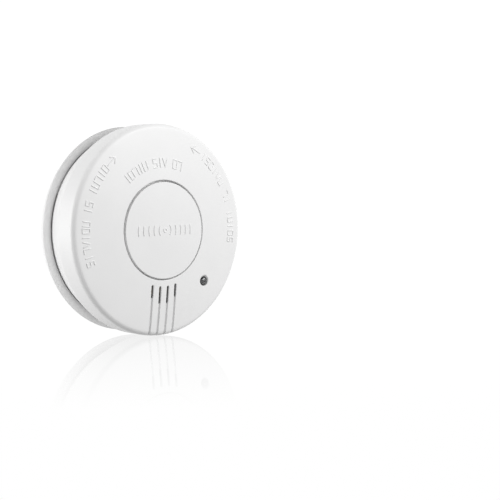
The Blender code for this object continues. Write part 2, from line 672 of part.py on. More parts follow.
def cross_recess(name, head_radius):
    arm, half = head_radius * SCREW_RECESS_SHARE, SCREW_RECESS_WIDTH / 2.0
    quarter = [(arm, -half), (arm, half), (half, half)]
    turns = [(1.0, 0.0), (0.0, 1.0), (-1.0, 0.0), (0.0, -1.0)]
    outline = [(x * c - y * s, x * s + y * c) for c, s in turns for x, y in quarter]
    return prism(f"{name}_recess", outline, -SCREW_RECESS_DEPTH, SCREW_RECESS_DEPTH)


def screws(material, parent):
    for side, angle in BOSS_ANGLES.items():
        screw(f"cover_screw_{side}", on_circle(BOSS_PITCH_RADIUS, angle),
              CHASSIS_REAR_HEIGHT - GAP - SCREW_HEAD, CHASSIS_REAR_HEIGHT + COVER_SCREW_LENGTH,
              SCREW_HEAD_RADIUS, SCREW_SHANK_RADIUS, material, parent)
    for side, place in BOARD_POSTS.items():
        screw(f"board_screw_{side}", place, BOARD_SEAT, BOARD_REAR_HEIGHT - BOARD_SCREW_LENGTH,
              BOARD_SCREW_HEAD_RADIUS, BOARD_SCREW_SHANK_RADIUS, material, parent)


# --- Indicator light ------------------------------------------------------------------------------
def indicator(clear, chip, parent):
    x, y = INDICATOR_PLACE
    led_top = BOARD_SEAT + LED_HEIGHT
    half = LED_SIDE / 2.0
    block("status_led", (x - half, y - half, BOARD_SEAT), (x + half, y + half, led_top), chip, parent)
    shoulder = face_height(INDICATOR_RADIUS) - LIGHT_PIPE_SINK
    base = led_top + GAP
    flange = base + LIGHT_PIPE_FLANGE
    wide = LIGHT_PIPE_RADIUS + LIGHT_PIPE_FLANGE_WIDTH
    steps = 5
    angles = [math.pi / 2.0 * step / steps for step in range(steps)]
    crown = [(LIGHT_PIPE_RADIUS * math.cos(a), shoulder + LIGHT_PIPE_CROWN * math.sin(a)) for a in angles]
    outline = [(0.0, base), (wide, base), (wide, flange), (LIGHT_PIPE_RADIUS, flange)]
    outline += crown + [(0.0, shoulder + LIGHT_PIPE_CROWN)]
    at(turned("light_pipe", outline, clear, parent), x, y)


# --- Optical chamber ------------------------------------------------------------------------------
def chamber(material, screen_material, parts_material, parent):
    labyrinth(material, parent)
    insect_screen(screen_material, parent)
    base = chamber_base(material, parent)
    for name, angle in OPTIC_ANGLES.items():
        optic(name, angle, parts_material[name], parent)
        cradle_bore = along_chamber(rod(f"{name}_bore", OPTIC_RADIUS + GAP, OPTIC_REACH - OPTIC_RADIUS,
                                        CHAMBER_RADIUS), angle)
        cut(base, cradle_bore)


def along_chamber(solid, angle):
    """Lays a turned piece along a radius of the chamber."""
    solid.rotation_euler = (0.0, math.radians(90.0), math.radians(angle))
    solid.location = (0.0, CHAMBER_Y, OPTIC_HEIGHT)
    return solid


def optic(name, angle, material, parent):
    """A round-nosed optical component that looks at the chamber's middle."""
    nose = OPTIC_REACH
    steps = 4
    angles = [math.pi / 2.0 * step / steps for step in range(steps + 1)]
    outline = [(0.0, nose)]
    outline += [(OPTIC_RADIUS * math.sin(a), nose + OPTIC_RADIUS * (1.0 - math.cos(a))) for a in angles[1:]]
    outline += [(OPTIC_RADIUS, nose + OPTIC_LENGTH), (0.0, nose + OPTIC_LENGTH)]
    along_chamber(turned(name, outline, material, parent, FINE_SEGMENTS), angle)


def chamber_base(material, parent):
    low = CHAMBER_BASE_HEIGHT
    base = rod("chamber_base", CHAMBER_RADIUS, low, low + CHAMBER_DISC, material, parent, CHAMBER_SEGMENTS)
    at(base, 0.0, CHAMBER_Y)
    half = OPTIC_RADIUS + GAP + CRADLE_WALL
    for name, angle in OPTIC_ANGLES.items():
        cradle = block(f"{name}_cradle", (OPTIC_REACH + OPTIC_RADIUS, -half, OPTIC_HEIGHT - half),
                       (OPTIC_REACH + OPTIC_LENGTH, half, low + CHAMBER_DISC / 2.0))
        cradle.rotation_euler = (0.0, 0.0, math.radians(angle))
        join(base, at(cradle, 0.0, CHAMBER_Y))
    return base


def labyrinth(material, parent):
    low = CHAMBER_REAR_HEIGHT
    cap = rod("chamber_labyrinth", CHAMBER_RADIUS, low, low + CHAMBER_DISC, material, parent,
              CHAMBER_SEGMENTS)
    at(cap, 0.0, CHAMBER_Y)
    reach = VANE_LENGTH / 2.0
    for number in range(VANE_COUNT):
        angle = 360.0 * number / VANE_COUNT
        if any(turn_between(angle, other) < VANE_FREE_ANGLE for other in OPTIC_ANGLES.values()):
            continue
        vane = block(f"vane_{number}", (-reach, -VANE_THICKNESS / 2.0, low + CHAMBER_DISC / 2.0),
                     (reach, VANE_THICKNESS / 2.0, CHAMBER_BASE_HEIGHT - GAP))
        x, y = on_circle(VANE_MIDDLE_RADIUS, angle)
        vane.rotation_euler = (0.0, 0.0, math.radians(angle + VANE_TWIST))
        join(cap, at(vane, x, CHAMBER_Y + y))


def turn_between(one, other):
    """The smaller angle between two directions, in degrees."""
    return abs((one - other + 180.0) % 360.0 - 180.0)


def insect_screen(material, parent):
    low = CHAMBER_REAR_HEIGHT + CHAMBER_DISC + GAP
    high = CHAMBER_BASE_HEIGHT - GAP
    inner = SCREEN_OUTER_RADIUS - SCREEN_WALL
    outline = [(inner, low), (SCREEN_OUTER_RADIUS, low), (SCREEN_OUTER_RADIUS, high), (inner, high)]
    screen = turned("insect_screen", outline, material, parent, SCREEN_WINDOWS * 2)
    at(screen, 0.0, CHAMBER_Y)
    half = SCREEN_WINDOW_WIDTH / 2.0
    for number in range(SCREEN_WINDOWS // 2):
        angle = 360.0 * (number + 0.5) / SCREEN_WINDOWS
        window = block(f"window_{number}", (-CHAMBER_RADIUS, -half, low + SCREEN_BORDER),
                       (CHAMBER_RADIUS, half, high - SCREEN_BORDER))
        window.rotation_euler = (0.0, 0.0, math.radians(angle))
        cut(screen, at(window, 0.0, CHAMBER_Y))


# --- Horn -----------------------------------------------------------------------------------------
def horn(housing_material, brass, ceramic, spring, parent):
    low = BOARD_SEAT
    high = face_height(SLOT_TOP_RADIUS + HORN_RADIUS) - FACE_WALL - HORN_FRONT_GAP
    inner = HORN_RADIUS - HORN_WALL
    outline = [(inner, low), (HORN_RADIUS, low), (HORN_RADIUS, high), (HORN_MOUTH_RADIUS, high),
               (HORN_MOUTH_RADIUS, high - HORN_WALL), (inner, high - HORN_WALL)]
    at(turned("horn_housing", outline, housing_material, parent, CHAMBER_SEGMENTS), 0.0, SOUND_CIRCLE_Y)
    disc_low = (low + high) / 2.0
    disc_high = disc_low + PIEZO_THICKNESS
    disc = rod("piezo_disc", PIEZO_RADIUS, disc_low, disc_high, brass, parent, DISC_SEGMENTS)
    at(disc, 0.0, SOUND_CIRCLE_Y)
    layer_high = disc_low - GAP
    layer_low = layer_high - PIEZO_THICKNESS
    layer = rod("piezo_ceramic", CERAMIC_RADIUS, layer_low, layer_high, ceramic, parent, DISC_SEGMENTS)
    at(layer, 0.0, SOUND_CIRCLE_Y)
    for side, sign in (("left", -1.0), ("right", 1.0)):
        horn_contact(side, sign, layer_low - GAP, spring, parent)


def horn_contact(side, sign, high, material, parent):
    """A leaf that rises from the board and presses on the piezo disc from behind."""
    length, width, thickness = HORN_CONTACT_SIZE
    start = sign * HORN_CONTACT_START
    end = start + sign * length
    profile = [(start, BOARD_SEAT), (end, high - thickness), (end, high), (start, BOARD_SEAT + thickness)]
    leaf = prism(f"horn_contact_{side}", profile, -width / 2.0, width / 2.0, material, parent)
    leaf.rotation_euler = (math.radians(90.0), 0.0, 0.0)
    at(leaf, 0.0, SOUND_CIRCLE_Y)


# --- Other electronics ----------------------------------------------------------------------------
def control_chip(material, parent):
    x, y = CHIP_PLACE
    length, width, height = CHIP_SIZE
    low = BOARD_SEAT + GAP
    chip = block("control_chip", (x - length / 2.0, y - width / 2.0, low),
                 (x + length / 2.0, y + width / 2.0, low + height), material, parent)
    half = PIN_WIDTH / 2.0
    reach = width / 2.0 + PIN_REACH
    for number in range(CHIP_PINS):
        place = x + (number - (CHIP_PINS - 1) / 2.0) * PIN_PITCH
        join(chip, block(f"pin_{number}", (place - half, y - reach, BOARD_SEAT),
                         (place + half, y + reach, low + height / 3.0)))


def tall_part_height(place, radius):
    """Height of an upright part that reaches almost to the inside of the domed front."""
    outermost = math.hypot(*place) + radius
    return face_height(outermost) - FACE_WALL - FRONT_CLEARANCE - BOARD_SEAT


def can(name, place, radius, material, parent):
    """An electrolytic capacitor: a can with a rolled neck near its foot."""
    low = BOARD_SEAT
    height = tall_part_height(place, radius)
    neck = radius * 0.9
    edge = radius * 0.15
    outline = [(0.0, low), (radius, low), (radius, low + height * 0.15), (neck, low + height * 0.2),
               (radius, low + height * 0.25), (radius, low + height - edge), (radius - edge, low + height),
               (0.0, low + height)]
    at(turned(name, outline, material, parent, FINE_SEGMENTS), *place)


def horn_coil(material, parent):
    low = BOARD_SEAT
    height = tall_part_height(COIL_PLACE, COIL_RADIUS)
    high = low + height
    flange = height / 6.0
    outline = [(0.0, low), (COIL_RADIUS, low), (COIL_RADIUS, low + flange), (COIL_WAIST, low + flange),
               (COIL_WAIST, high - flange), (COIL_RADIUS, high - flange), (COIL_RADIUS, high), (0.0, high)]
    at(turned("horn_coil", outline, material, parent), *COIL_PLACE)


def resistor(number, material, parent):
    """An axial resistor: a dumbbell body with a lead at each end, lying above the board."""
    half = RESISTOR_LENGTH / 2.0
    body, bell, lead = RESISTOR_BODY_RADIUS, RESISTOR_BELL_RADIUS, RESISTOR_LEAD_RADIUS
    side = [(body, half * 0.25), (bell, half * 0.35), (bell, half * 0.55), (lead, half * 0.6), (lead, half),
            (0.0, half)]
    outline = [(radius, -along) for radius, along in reversed(side)] + side
    piece = turned(f"resistor_{number + 1}", outline, material, parent, 12)
    x, y = RESISTOR_PLACE
    along_x(piece, x, y + number * RESISTOR_STEP, BOARD_SEAT + bell)


def along_x(solid, x, y, z):
    solid.rotation_euler = (0.0, math.radians(90.0), 0.0)
    return at(solid, x, y, z)


# --- Battery --------------------------------------------------------------------------------------
def terminal_places():
    return {"positive": BATTERY_Y + TERMINAL_PITCH / 2.0, "negative": BATTERY_Y - TERMINAL_PITCH / 2.0}


def battery(case_material, nickel, parent):
    half = BATTERY_WIDTH / 2.0
    case = block("battery_case", (BATTERY_LEFT_X, BATTERY_Y - half, BATTERY_REAR_HEIGHT),
                 (BATTERY_RIGHT_X, BATTERY_Y + half, BATTERY_FRONT_HEIGHT), case_material, parent)
    edges = case.modifiers.new("edges", "BEVEL")
    edges.width = BATTERY_EDGE
    edges.segments = 3
    places = terminal_places()
    foot = BATTERY_RIGHT_X + GAP
    stud = rod("battery_positive_terminal", POSITIVE_TERMINAL_RADIUS, 0.0, TERMINAL_HEIGHT, nickel, parent)
    along_x(stud, foot, places["positive"], BATTERY_HEIGHT)
    outline = socket_outline(NEGATIVE_TERMINAL_RADIUS)
    socket = turned("battery_negative_terminal", outline, nickel, parent, 12)
    along_x(socket, foot, places["negative"], BATTERY_HEIGHT)


def socket_outline(radius):
    """An open cup: a thin floor at height 0 and a wall up to the terminal's height."""
    inner = radius - SNAP_WALL
    floor = SNAP_WALL / 2.0
    return [(0.0, 0.0), (radius, 0.0), (radius, TERMINAL_HEIGHT), (inner, TERMINAL_HEIGHT), (inner, floor),
            (0.0, floor)]


def snap_contacts(spring, parent):
    """Fixed contacts on the pocket's end wall, each with a stem through the wall."""
    places = terminal_places()
    base = SNAP_WALL
    stem_end = base + POCKET_WALL + 2.0 * GAP
    cup = POSITIVE_TERMINAL_RADIUS + GAP + SNAP_WALL
    cup_inner = POSITIVE_TERMINAL_RADIUS + GAP
    reach = -TERMINAL_HEIGHT * 0.7
    outline = [(0.0, 0.0), (cup_inner, 0.0), (cup_inner, reach), (cup, reach), (cup, base),
               (CONTACT_STEM_RADIUS, base), (CONTACT_STEM_RADIUS, stem_end), (0.0, stem_end)]
    cup_piece = turned("positive_contact", outline, spring, parent)
    along_x(cup_piece, CONTACT_X, places["positive"], BATTERY_HEIGHT)
    plug = NEGATIVE_TERMINAL_RADIUS - SNAP_WALL - GAP
    plate = NEGATIVE_TERMINAL_RADIUS
    outline = [(0.0, reach), (plug, reach), (plug, 0.0), (plate, 0.0), (plate, base),
               (CONTACT_STEM_RADIUS, base), (CONTACT_STEM_RADIUS, stem_end), (0.0, stem_end)]
    plug_piece = turned("negative_contact", outline, spring, parent)
    along_x(plug_piece, CONTACT_X, places["negative"], BATTERY_HEIGHT)
    return CONTACT_X + stem_end


def battery_lead(name, y, start_x, material, parent):
    """A short lead from a contact's stem round to the back of the circuit board."""
    curve = bpy.data.curves.new(name, "CURVE")
    curve.dimensions = "3D"
    curve.bevel_depth = LEAD_RADIUS
    curve.bevel_resolution = 2
    curve.use_fill_caps = True
    start = Vector((start_x + GAP, y, BATTERY_HEIGHT))
    end = Vector((start_x + LEAD_BOW * 0.7, y - LEAD_DROP, BOARD_REAR_HEIGHT - GAP))
    out = start + Vector((LEAD_BOW, 0.0, 0.0))
    rise = (start + end) / 2.0
    rise.x = end.x
    steps = 14
    spline = curve.splines.new("POLY")
    spline.points.add(steps)
    for step in range(steps + 1):
        t = step / steps
        u = 1.0 - t
        point = start * u**3 + out * 3.0 * t * u**2 + rise * 3.0 * t**2 * u + end * t**3
        spline.points[step].co = (*point, 1.0)
    lead = bpy.data.objects.new(name, curve)
    bpy.context.collection.objects.link(lead)
    curve.materials.append(material)
    lead.parent = parent


# --- Assembly -------------------------------------------------------------------------------------
def main():
    clear_scene()
    shell = plastic("white_shell", (0.87, 0.87, 0.86), 0.38)
    plate_white = plastic("white_plate", (0.80, 0.80, 0.79), 0.45)
    clear = plastic("smoked_clear", (0.30, 0.31, 0.32), 0.12, transmission=0.6)
    black = plastic("black_plastic", (0.02, 0.02, 0.022), 0.5)
    green = plastic("board_green", (0.03, 0.20, 0.08), 0.4)
    steel = plastic("steel", (0.62, 0.62, 0.63), 0.3, metallic=1.0)
    brass = plastic("brass", (0.72, 0.52, 0.20), 0.3, metallic=1.0)
    ceramic = plastic("ceramic", (0.82, 0.80, 0.74), 0.6)
    nickel = plastic("nickel", (0.70, 0.68, 0.63), 0.25, metallic=1.0)
    jacket = plastic("battery_jacket", (0.10, 0.11, 0.13), 0.35, metallic=0.6)
    aluminium = plastic("aluminium", (0.75, 0.76, 0.78), 0.3, metallic=1.0)
    copper = plastic("copper", (0.60, 0.28, 0.14), 0.35, metallic=0.8)
    resistor_blue = plastic("resistor_blue", (0.15, 0.30, 0.45), 0.5)
    infrared = plastic("infrared_lens", (0.10, 0.12, 0.30), 0.1, transmission=0.5)
    red = plastic("red_pvc", (0.55, 0.02, 0.02), 0.45)
    black_pvc = plastic("black_pvc", (0.02, 0.02, 0.02), 0.45)

    wall_frame = frame_empty("wall_frame")
    alarm = frame_empty("alarm_axis", wall_frame)
    button = frame_empty("button_axis", alarm)
    plunger = frame_empty("plunger_axis", alarm)

    mounting_plate(plate_white, wall_frame)
    rear_chassis(shell, alarm)
    front_cover(shell, alarm)
    test_button(shell, button)
    tact_switch(black, black, alarm, plunger)
    circuit_board(green, alarm)
    screws(steel, alarm)
    indicator(clear, ceramic, alarm)
    chamber(black, steel, {"infrared_emitter": infrared, "photodiode": black}, alarm)
    horn(black, brass, ceramic, steel, alarm)
    control_chip(black, alarm)
    for name, (place, radius) in CAPACITORS.items():
        can(name, place, radius, aluminium, alarm)
    horn_coil(copper, alarm)
    for number in range(RESISTOR_COUNT):
        resistor(number, resistor_blue, alarm)
    battery(jacket, nickel, alarm)
    start_x = snap_contacts(brass, alarm)
    places = terminal_places()
    battery_lead("red_lead", places["positive"], start_x, red, alarm)
    battery_lead("black_lead", places["negative"], start_x, black_pvc, alarm)


main()
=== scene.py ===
"""Looks of the round smoke alarm: fine shells, raised marks and procedural materials round the CAD frame."""

import json
import math

import bmesh
import bpy
from mathutils import Matrix, Vector


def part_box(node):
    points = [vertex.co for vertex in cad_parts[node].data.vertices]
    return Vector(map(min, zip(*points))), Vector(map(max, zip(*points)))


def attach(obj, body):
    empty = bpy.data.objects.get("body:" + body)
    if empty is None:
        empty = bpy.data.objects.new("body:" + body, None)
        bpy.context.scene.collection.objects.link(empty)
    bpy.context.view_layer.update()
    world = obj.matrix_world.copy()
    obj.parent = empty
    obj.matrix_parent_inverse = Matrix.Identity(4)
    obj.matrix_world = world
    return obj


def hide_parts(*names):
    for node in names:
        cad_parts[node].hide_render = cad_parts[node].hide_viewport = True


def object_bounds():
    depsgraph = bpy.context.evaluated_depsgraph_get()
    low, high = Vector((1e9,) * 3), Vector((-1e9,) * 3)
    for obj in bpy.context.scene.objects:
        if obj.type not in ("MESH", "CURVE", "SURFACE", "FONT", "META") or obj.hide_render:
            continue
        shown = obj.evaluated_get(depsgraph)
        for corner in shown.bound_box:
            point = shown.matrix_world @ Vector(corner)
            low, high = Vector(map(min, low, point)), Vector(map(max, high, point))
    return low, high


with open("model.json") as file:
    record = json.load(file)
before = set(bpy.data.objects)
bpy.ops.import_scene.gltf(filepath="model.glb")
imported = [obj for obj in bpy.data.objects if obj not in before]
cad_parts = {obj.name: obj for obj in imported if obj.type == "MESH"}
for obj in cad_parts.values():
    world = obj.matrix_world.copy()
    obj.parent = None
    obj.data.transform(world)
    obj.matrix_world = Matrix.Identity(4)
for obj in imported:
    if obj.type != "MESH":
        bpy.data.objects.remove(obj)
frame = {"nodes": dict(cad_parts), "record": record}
CAD_BOX = [list(corner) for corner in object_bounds()]

# --- Sizes, in metres, in the alarm's own frame: x right, y up, z out of the wall ---------------
# They repeat the design's driving dimensions, and the frame's boxes give the places that follow.
RIM_RADIUS = 0.0505
FACE_HEIGHT = -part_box("test_button")[0].y
DOME_RADIUS = 0.285
SHOULDER_HEIGHT = 0.0190
SHOULDER_RADIUS = 0.0502
REAR_RADIUS = 0.0452
REAR_HEIGHT = -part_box("front_cover")[1].y
COVER_WALL = 0.0018
FACE_WALL = 0.0020
RIM_FILLET = 0.0027
SHOULDER_FILLET = 0.0040
EDGE_FILLET = 0.00018

BUTTON_RADIUS = 0.02315
BUTTON_GROOVE = 0.0007
BUTTON_FLANGE_WIDTH = 0.0008
BUTTON_FLANGE = 0.0011
BUTTON_SKIRT_WALL = 0.0016
BUTTON_CAP = 0.0021
BUTTON_POST_RADIUS = 0.0026
BUTTON_TRIM = 0.00020          # the moulded cap is this much smaller than its plain solid
PLUNGER_SLACK = 0.0008
BUTTON_PLAY = (0.00026, -0.00014)  # the cap rests a little to one side of its hole
HOLE_RADIUS = BUTTON_RADIUS + BUTTON_GROOVE

PLATE_RADIUS = 0.0498
PLATE_HEIGHT = 0.0061
PLATE_BACK_RADIUS = 0.0463
PLATE_WAIST_RADIUS = 0.0478
PLATE_WAIST_HEIGHT = 0.0027
PLATE_FLOOR = 0.0018
PLATE_RIM_WALL = 0.0020
PLATE_FLANGE = 0.0012
PLATE_FLANGE_RADIUS = 0.0449
PLATE_BACK_FILLET = 0.0004
PLATE_WAIST_FILLET = 0.0060
PLATE_RIM_FILLET = 0.0007
PLATE_LIP_FILLET = 0.0003
HOOK_ANGLES = (30.0, 150.0, 270.0)
HOOK_INNER_RADIUS = 0.0410
HOOK_TOP = 0.0051
HOOK_THICKNESS = 0.0012
HOOK_START = -11.1             # degrees from a hook's own angle, as are the next three
HOOK_END = 6.0
STOP_START = -10.5
STOP_END = -7.2
STOP_WIDTH = 0.0034
KEYHOLE_X = 0.0240
KEYHOLE_ENTRY_Y = -0.0150
KEYHOLE_LENGTH = 0.0110
KEYHOLE_ENTRY_RADIUS = 0.0043
KEYHOLE_SLOT_WIDTH = 0.0048
KEYHOLE_CUT = (-0.001, 0.004)  # heights the keyhole cutter runs between
KEYHOLE_ENTRY_STEPS = 32
KEYHOLE_END_STEPS = 16

BOSS_PITCH_RADIUS = 0.0375
BOSS_ANGLES = (90.0, 190.0, 350.0)
BOSS_RADIUS = 0.0030
BOSS_REAR_HEIGHT = 0.0072
PILOT_RADIUS = 0.0014
PILOT_END_HEIGHT = 0.0147

SLOT_COUNT = 4
SLOT_PITCH = 0.0046
SLOT_WIDTH = 0.0012
SLOT_TOP_RADIUS = 0.0267
SLOT_LIP = 0.0005              # the slots open out behind this thin lip
SLOT_UNDERCUT = 0.0008
SLOT_FLARE = 0.00016           # the slots' mouths are rounded off by this much
SOUND_CIRCLE_RADIUS = 0.0090
SOUND_CIRCLE_Y = -0.0260
GROOVE_END_HEIGHT = 0.0245
GROOVE_FACE_STEPS = 26
GROOVE_RIM_STEPS = 10
GROOVE_WALL_STEPS = 5
GROOVE_FADE_STEPS = 4          # a groove runs out to the surface over its last steps
GROOVE_FADE_LIFT = 0.0003      # it is lifted by this much where it ends
GROOVE_FADE_DEPTH = 0.25       # and keeps this share of its depth there

INDICATOR_RADIUS = 0.0364
INDICATOR_ANGLE = math.radians(-45.0)
LIGHT_PIPE_RADIUS = 0.0020
COUNTERSINK = 0.0006
COUNTERSINK_WIDTH = 0.00045    # the cone round the light's hole grows by this much
COUNTERSINK_LIP = 0.00015      # its edge is broken this far above and below the face
COUNTERSINK_LIP_WIDTH = 0.0002
COUNTERSINK_OVERRUN = 0.0013   # radius added to the cutter above the face
LENS_SINK = 0.0010             # the light pipe's dome starts this far under the face
LENS_CROWN = 0.0013
LENS_FLANGE_WIDTH = 0.0008
LENS_FLANGE = 0.0010
LENS_CROWN_STEPS = 16
GAP = 0.0003
TO_WORLD = Matrix.Rotation(math.radians(90.0), 4, "X")
SHELL_SEGMENTS = 192
SHARP_ANGLE = 35.0             # degrees; steeper edges are shaded sharp
FACE_END_RADIUS = RIM_RADIUS - 1.2 * RIM_FILLET    # where the face runs into its soft edge
FACE_END_LEAN = math.radians(10.0)                 # the dome's slope there


# --- Mesh helpers -----------------------------------------------------------------------------
def piece_from(name, build, material=None, sharp=SHARP_ANGLE):
    """A mesh object whose shape the build function draws in the alarm's own frame."""
    mesh = bpy.data.meshes.new(name)
    shape = bmesh.new()
    build(shape)
    bmesh.ops.recalc_face_normals(shape, faces=shape.faces)
    shape.transform(TO_WORLD)
    shape.to_mesh(mesh)
    shape.free()
    mesh.shade_smooth()
    mesh.set_sharp_from_angle(angle=math.radians(sharp))
    piece = bpy.data.objects.new(name, mesh)
    bpy.context.scene.collection.objects.link(piece)
    if material is not None:
        mesh.materials.append(material)
    return piece


def ring(shape, radius, height, segments, centre):
    if radius == 0.0:
        return [shape.verts.new((centre[0], centre[1], height))]
    angles = [2.0 * math.pi * step / segments for step in range(segments)]
    return [
        shape.verts.new((centre[0] + radius * math.cos(a), centre[1] + radius * math.sin(a), height))
        for a in angles
    ]


def bridge(shape, lower, upper):
    """Faces between two rings; either of them may be a single point."""
    count = max(len(lower), len(upper))
    if count == 1:
        return
    for step in range(count):
        following = (step + 1) % count
        corners = [lower[step % len(lower)], lower[following % len(lower)],
                   upper[following % len(upper)], upper[step % len(upper)]]
        shape.faces.new(list(dict.fromkeys(corners)))


def turned(name, outline, material=None, segments=SHELL_SEGMENTS, centre=(0.0, 0.0)):
    """A closed outline of (radius, height) points turned about an upright axis through the centre."""
    def build(shape):
        rings = [ring(shape, radius, height, segments, centre) for radius, height in outline]
        for lower, upper in zip(rings, rings[1:] + rings[:1]):
            bridge(shape, lower, upper)
    return piece_from(name, build, material)


def loft(shape, sections):
    """Joins matching closed sections of points; the two ends are capped."""
    rings = [[shape.verts.new(point) for point in section] for section in sections]
    for one, two in zip(rings, rings[1:]):
        bridge(shape, one, two)
    shape.faces.new(rings[0])
    shape.faces.new(rings[-1])


def rounded(before, corner, after, radius, steps):
    """Points of the arc that rounds the corner between two other points."""
    corner = Vector(corner)
    one = (Vector(before) - corner).normalized()
    two = (Vector(after) - corner).normalized()
    half = one.angle(two) / 2.0
    middle = corner + (one + two).normalized() * radius / math.sin(half)
    first = corner + one * radius / math.tan(half) - middle
    last = corner + two * radius / math.tan(half) - middle
    sweep = first.angle(last)
    points = []
    for step in range(steps + 1):
        share = step / steps
        point = (first * math.sin(sweep * (1.0 - share)) + last * math.sin(sweep * share)) / math.sin(sweep)
        points.append(tuple(middle + point))
    return points


def face_height(radius):
    return FACE_HEIGHT - (DOME_RADIUS - math.sqrt(DOME_RADIUS**2 - radius**2))


def face_at(x, y):
    return face_height(math.hypot(x, y))


def dome(start, end, steps, sink=0.0):
    radii = [start + (end - start) * step / steps for step in range(steps + 1)]
    return [(radius, face_height(radius) - sink) for radius in radii]


def apply_tools(piece, tools, operation="DIFFERENCE"):
    """Cuts or joins the tools one after the other, for good, and removes them."""
    for tool in tools:
        modifier = piece.modifiers.new("tool", "BOOLEAN")
        modifier.operation = operation
        modifier.solver = "EXACT"
        modifier.object = tool
        graph = bpy.context.evaluated_depsgraph_get()
        mesh = bpy.data.meshes.new_from_object(piece.evaluated_get(graph), depsgraph=graph)
        piece.modifiers.clear()
        piece.data = mesh
        bpy.data.objects.remove(tool, do_unlink=True)
    piece.data.shade_smooth()
    piece.data.set_sharp_from_angle(angle=math.radians(SHARP_ANGLE))


# --- Materials --------------------------------------------------------------------------------
def new_material(name):
    material = bpy.data.materials.new(name)
    material.use_nodes = True
    tree = material.node_tree
    return material, tree, tree.nodes["Principled BSDF"]


def noise(tree, scale, detail, roughness=0.5):
    coordinates = tree.nodes.new("ShaderNodeTexCoord")
    texture = tree.nodes.new("ShaderNodeTexNoise")
    texture.inputs["Scale"].default_value = scale
    texture.inputs["Detail"].default_value = detail
    texture.inputs["Roughness"].default_value = roughness
    tree.links.new(coordinates.outputs["Object"], texture.inputs["Vector"])
    return texture


NOISE_RANGE = (0.25, 0.75)     # nearly all of a noise texture's values lie between these


def spread(tree, source, low, high):
    """Maps a texture's value onto a range of numbers."""
    mapped = tree.nodes.new("ShaderNodeMapRange")
    mapped.inputs["From Min"].default_value = NOISE_RANGE[0]
    mapped.inputs["From Max"].default_value = NOISE_RANGE[1]
    mapped.inputs["To Min"].default_value = low
    mapped.inputs["To Max"].default_value = high
    tree.links.new(source.outputs["Fac"], mapped.inputs["Value"])
    return mapped.outputs["Result"]


def tint(tree, source, one, two):
    ramp = tree.nodes.new("ShaderNodeMix")
    ramp.data_type = "RGBA"
    ramp.inputs["A"].default_value = (*one, 1.0)
    ramp.inputs["B"].default_value = (*two, 1.0)
    tree.links.new(spread(tree, source, 0.0, 1.0), ramp.inputs["Factor"])
    return ramp.outputs["Result"]


def bump(tree, shader, source, strength, distance):
    node = tree.nodes.new("ShaderNodeBump")
    node.inputs["Strength"].default_value = strength
    node.inputs["Distance"].default_value = distance
    tree.links.new(source.outputs["Fac"], node.inputs["Height"])
    tree.links.new(node.outputs["Normal"], shader.inputs["Normal"])


DRIFT_SCALE = 60.0             # of the slow drift of colour over moulded plastic
DRIFT_DETAIL = 3.0
GRAIN_DETAIL = 4.0             # of the fine grain of plastic and metal
PLASTIC_GRAIN = 0.6            # how rough that grain is
METAL_GRAIN = 0.65
PLASTIC_GLOSS = (0.9, 1.12)    # lowest and highest share of a material's roughness
METAL_GLOSS = (0.75, 1.3)


def moulded(name, colour, roughness, shade=0.97, grain=1800.0, strength=0.12, depth=0.00002, **values):
    """Moulded plastic: a faint drift of colour, uneven gloss and a very fine spark texture."""
    material, tree, shader = new_material(name)
    darker = [channel * shade for channel in colour]
    drift = noise(tree, DRIFT_SCALE, DRIFT_DETAIL)
    fine = noise(tree, grain, GRAIN_DETAIL, PLASTIC_GRAIN)
    tree.links.new(tint(tree, drift, darker, colour), shader.inputs["Base Color"])
    low, high = [roughness * share for share in PLASTIC_GLOSS]
    tree.links.new(spread(tree, fine, low, high), shader.inputs["Roughness"])
    bump(tree, shader, fine, strength, depth)
    for socket, value in values.items():
        shader.inputs[socket.replace("_", " ")].default_value = value
    return material


def metal(name, colour, roughness, scale=900.0, shade=0.82, strength=0.08, depth=0.00002):
    """Worn metal: the same fine grain drives its colour, its gloss and its relief."""
    material, tree, shader = new_material(name)
    grain = noise(tree, scale, GRAIN_DETAIL, METAL_GRAIN)
    darker = [channel * shade for channel in colour]
    tree.links.new(tint(tree, grain, darker, colour), shader.inputs["Base Color"])
    low, high = [roughness * share for share in METAL_GLOSS]
    tree.links.new(spread(tree, grain, low, high), shader.inputs["Roughness"])
    shader.inputs["Metallic"].default_value = 1.0
    bump(tree, shader, grain, strength, depth)
    return material


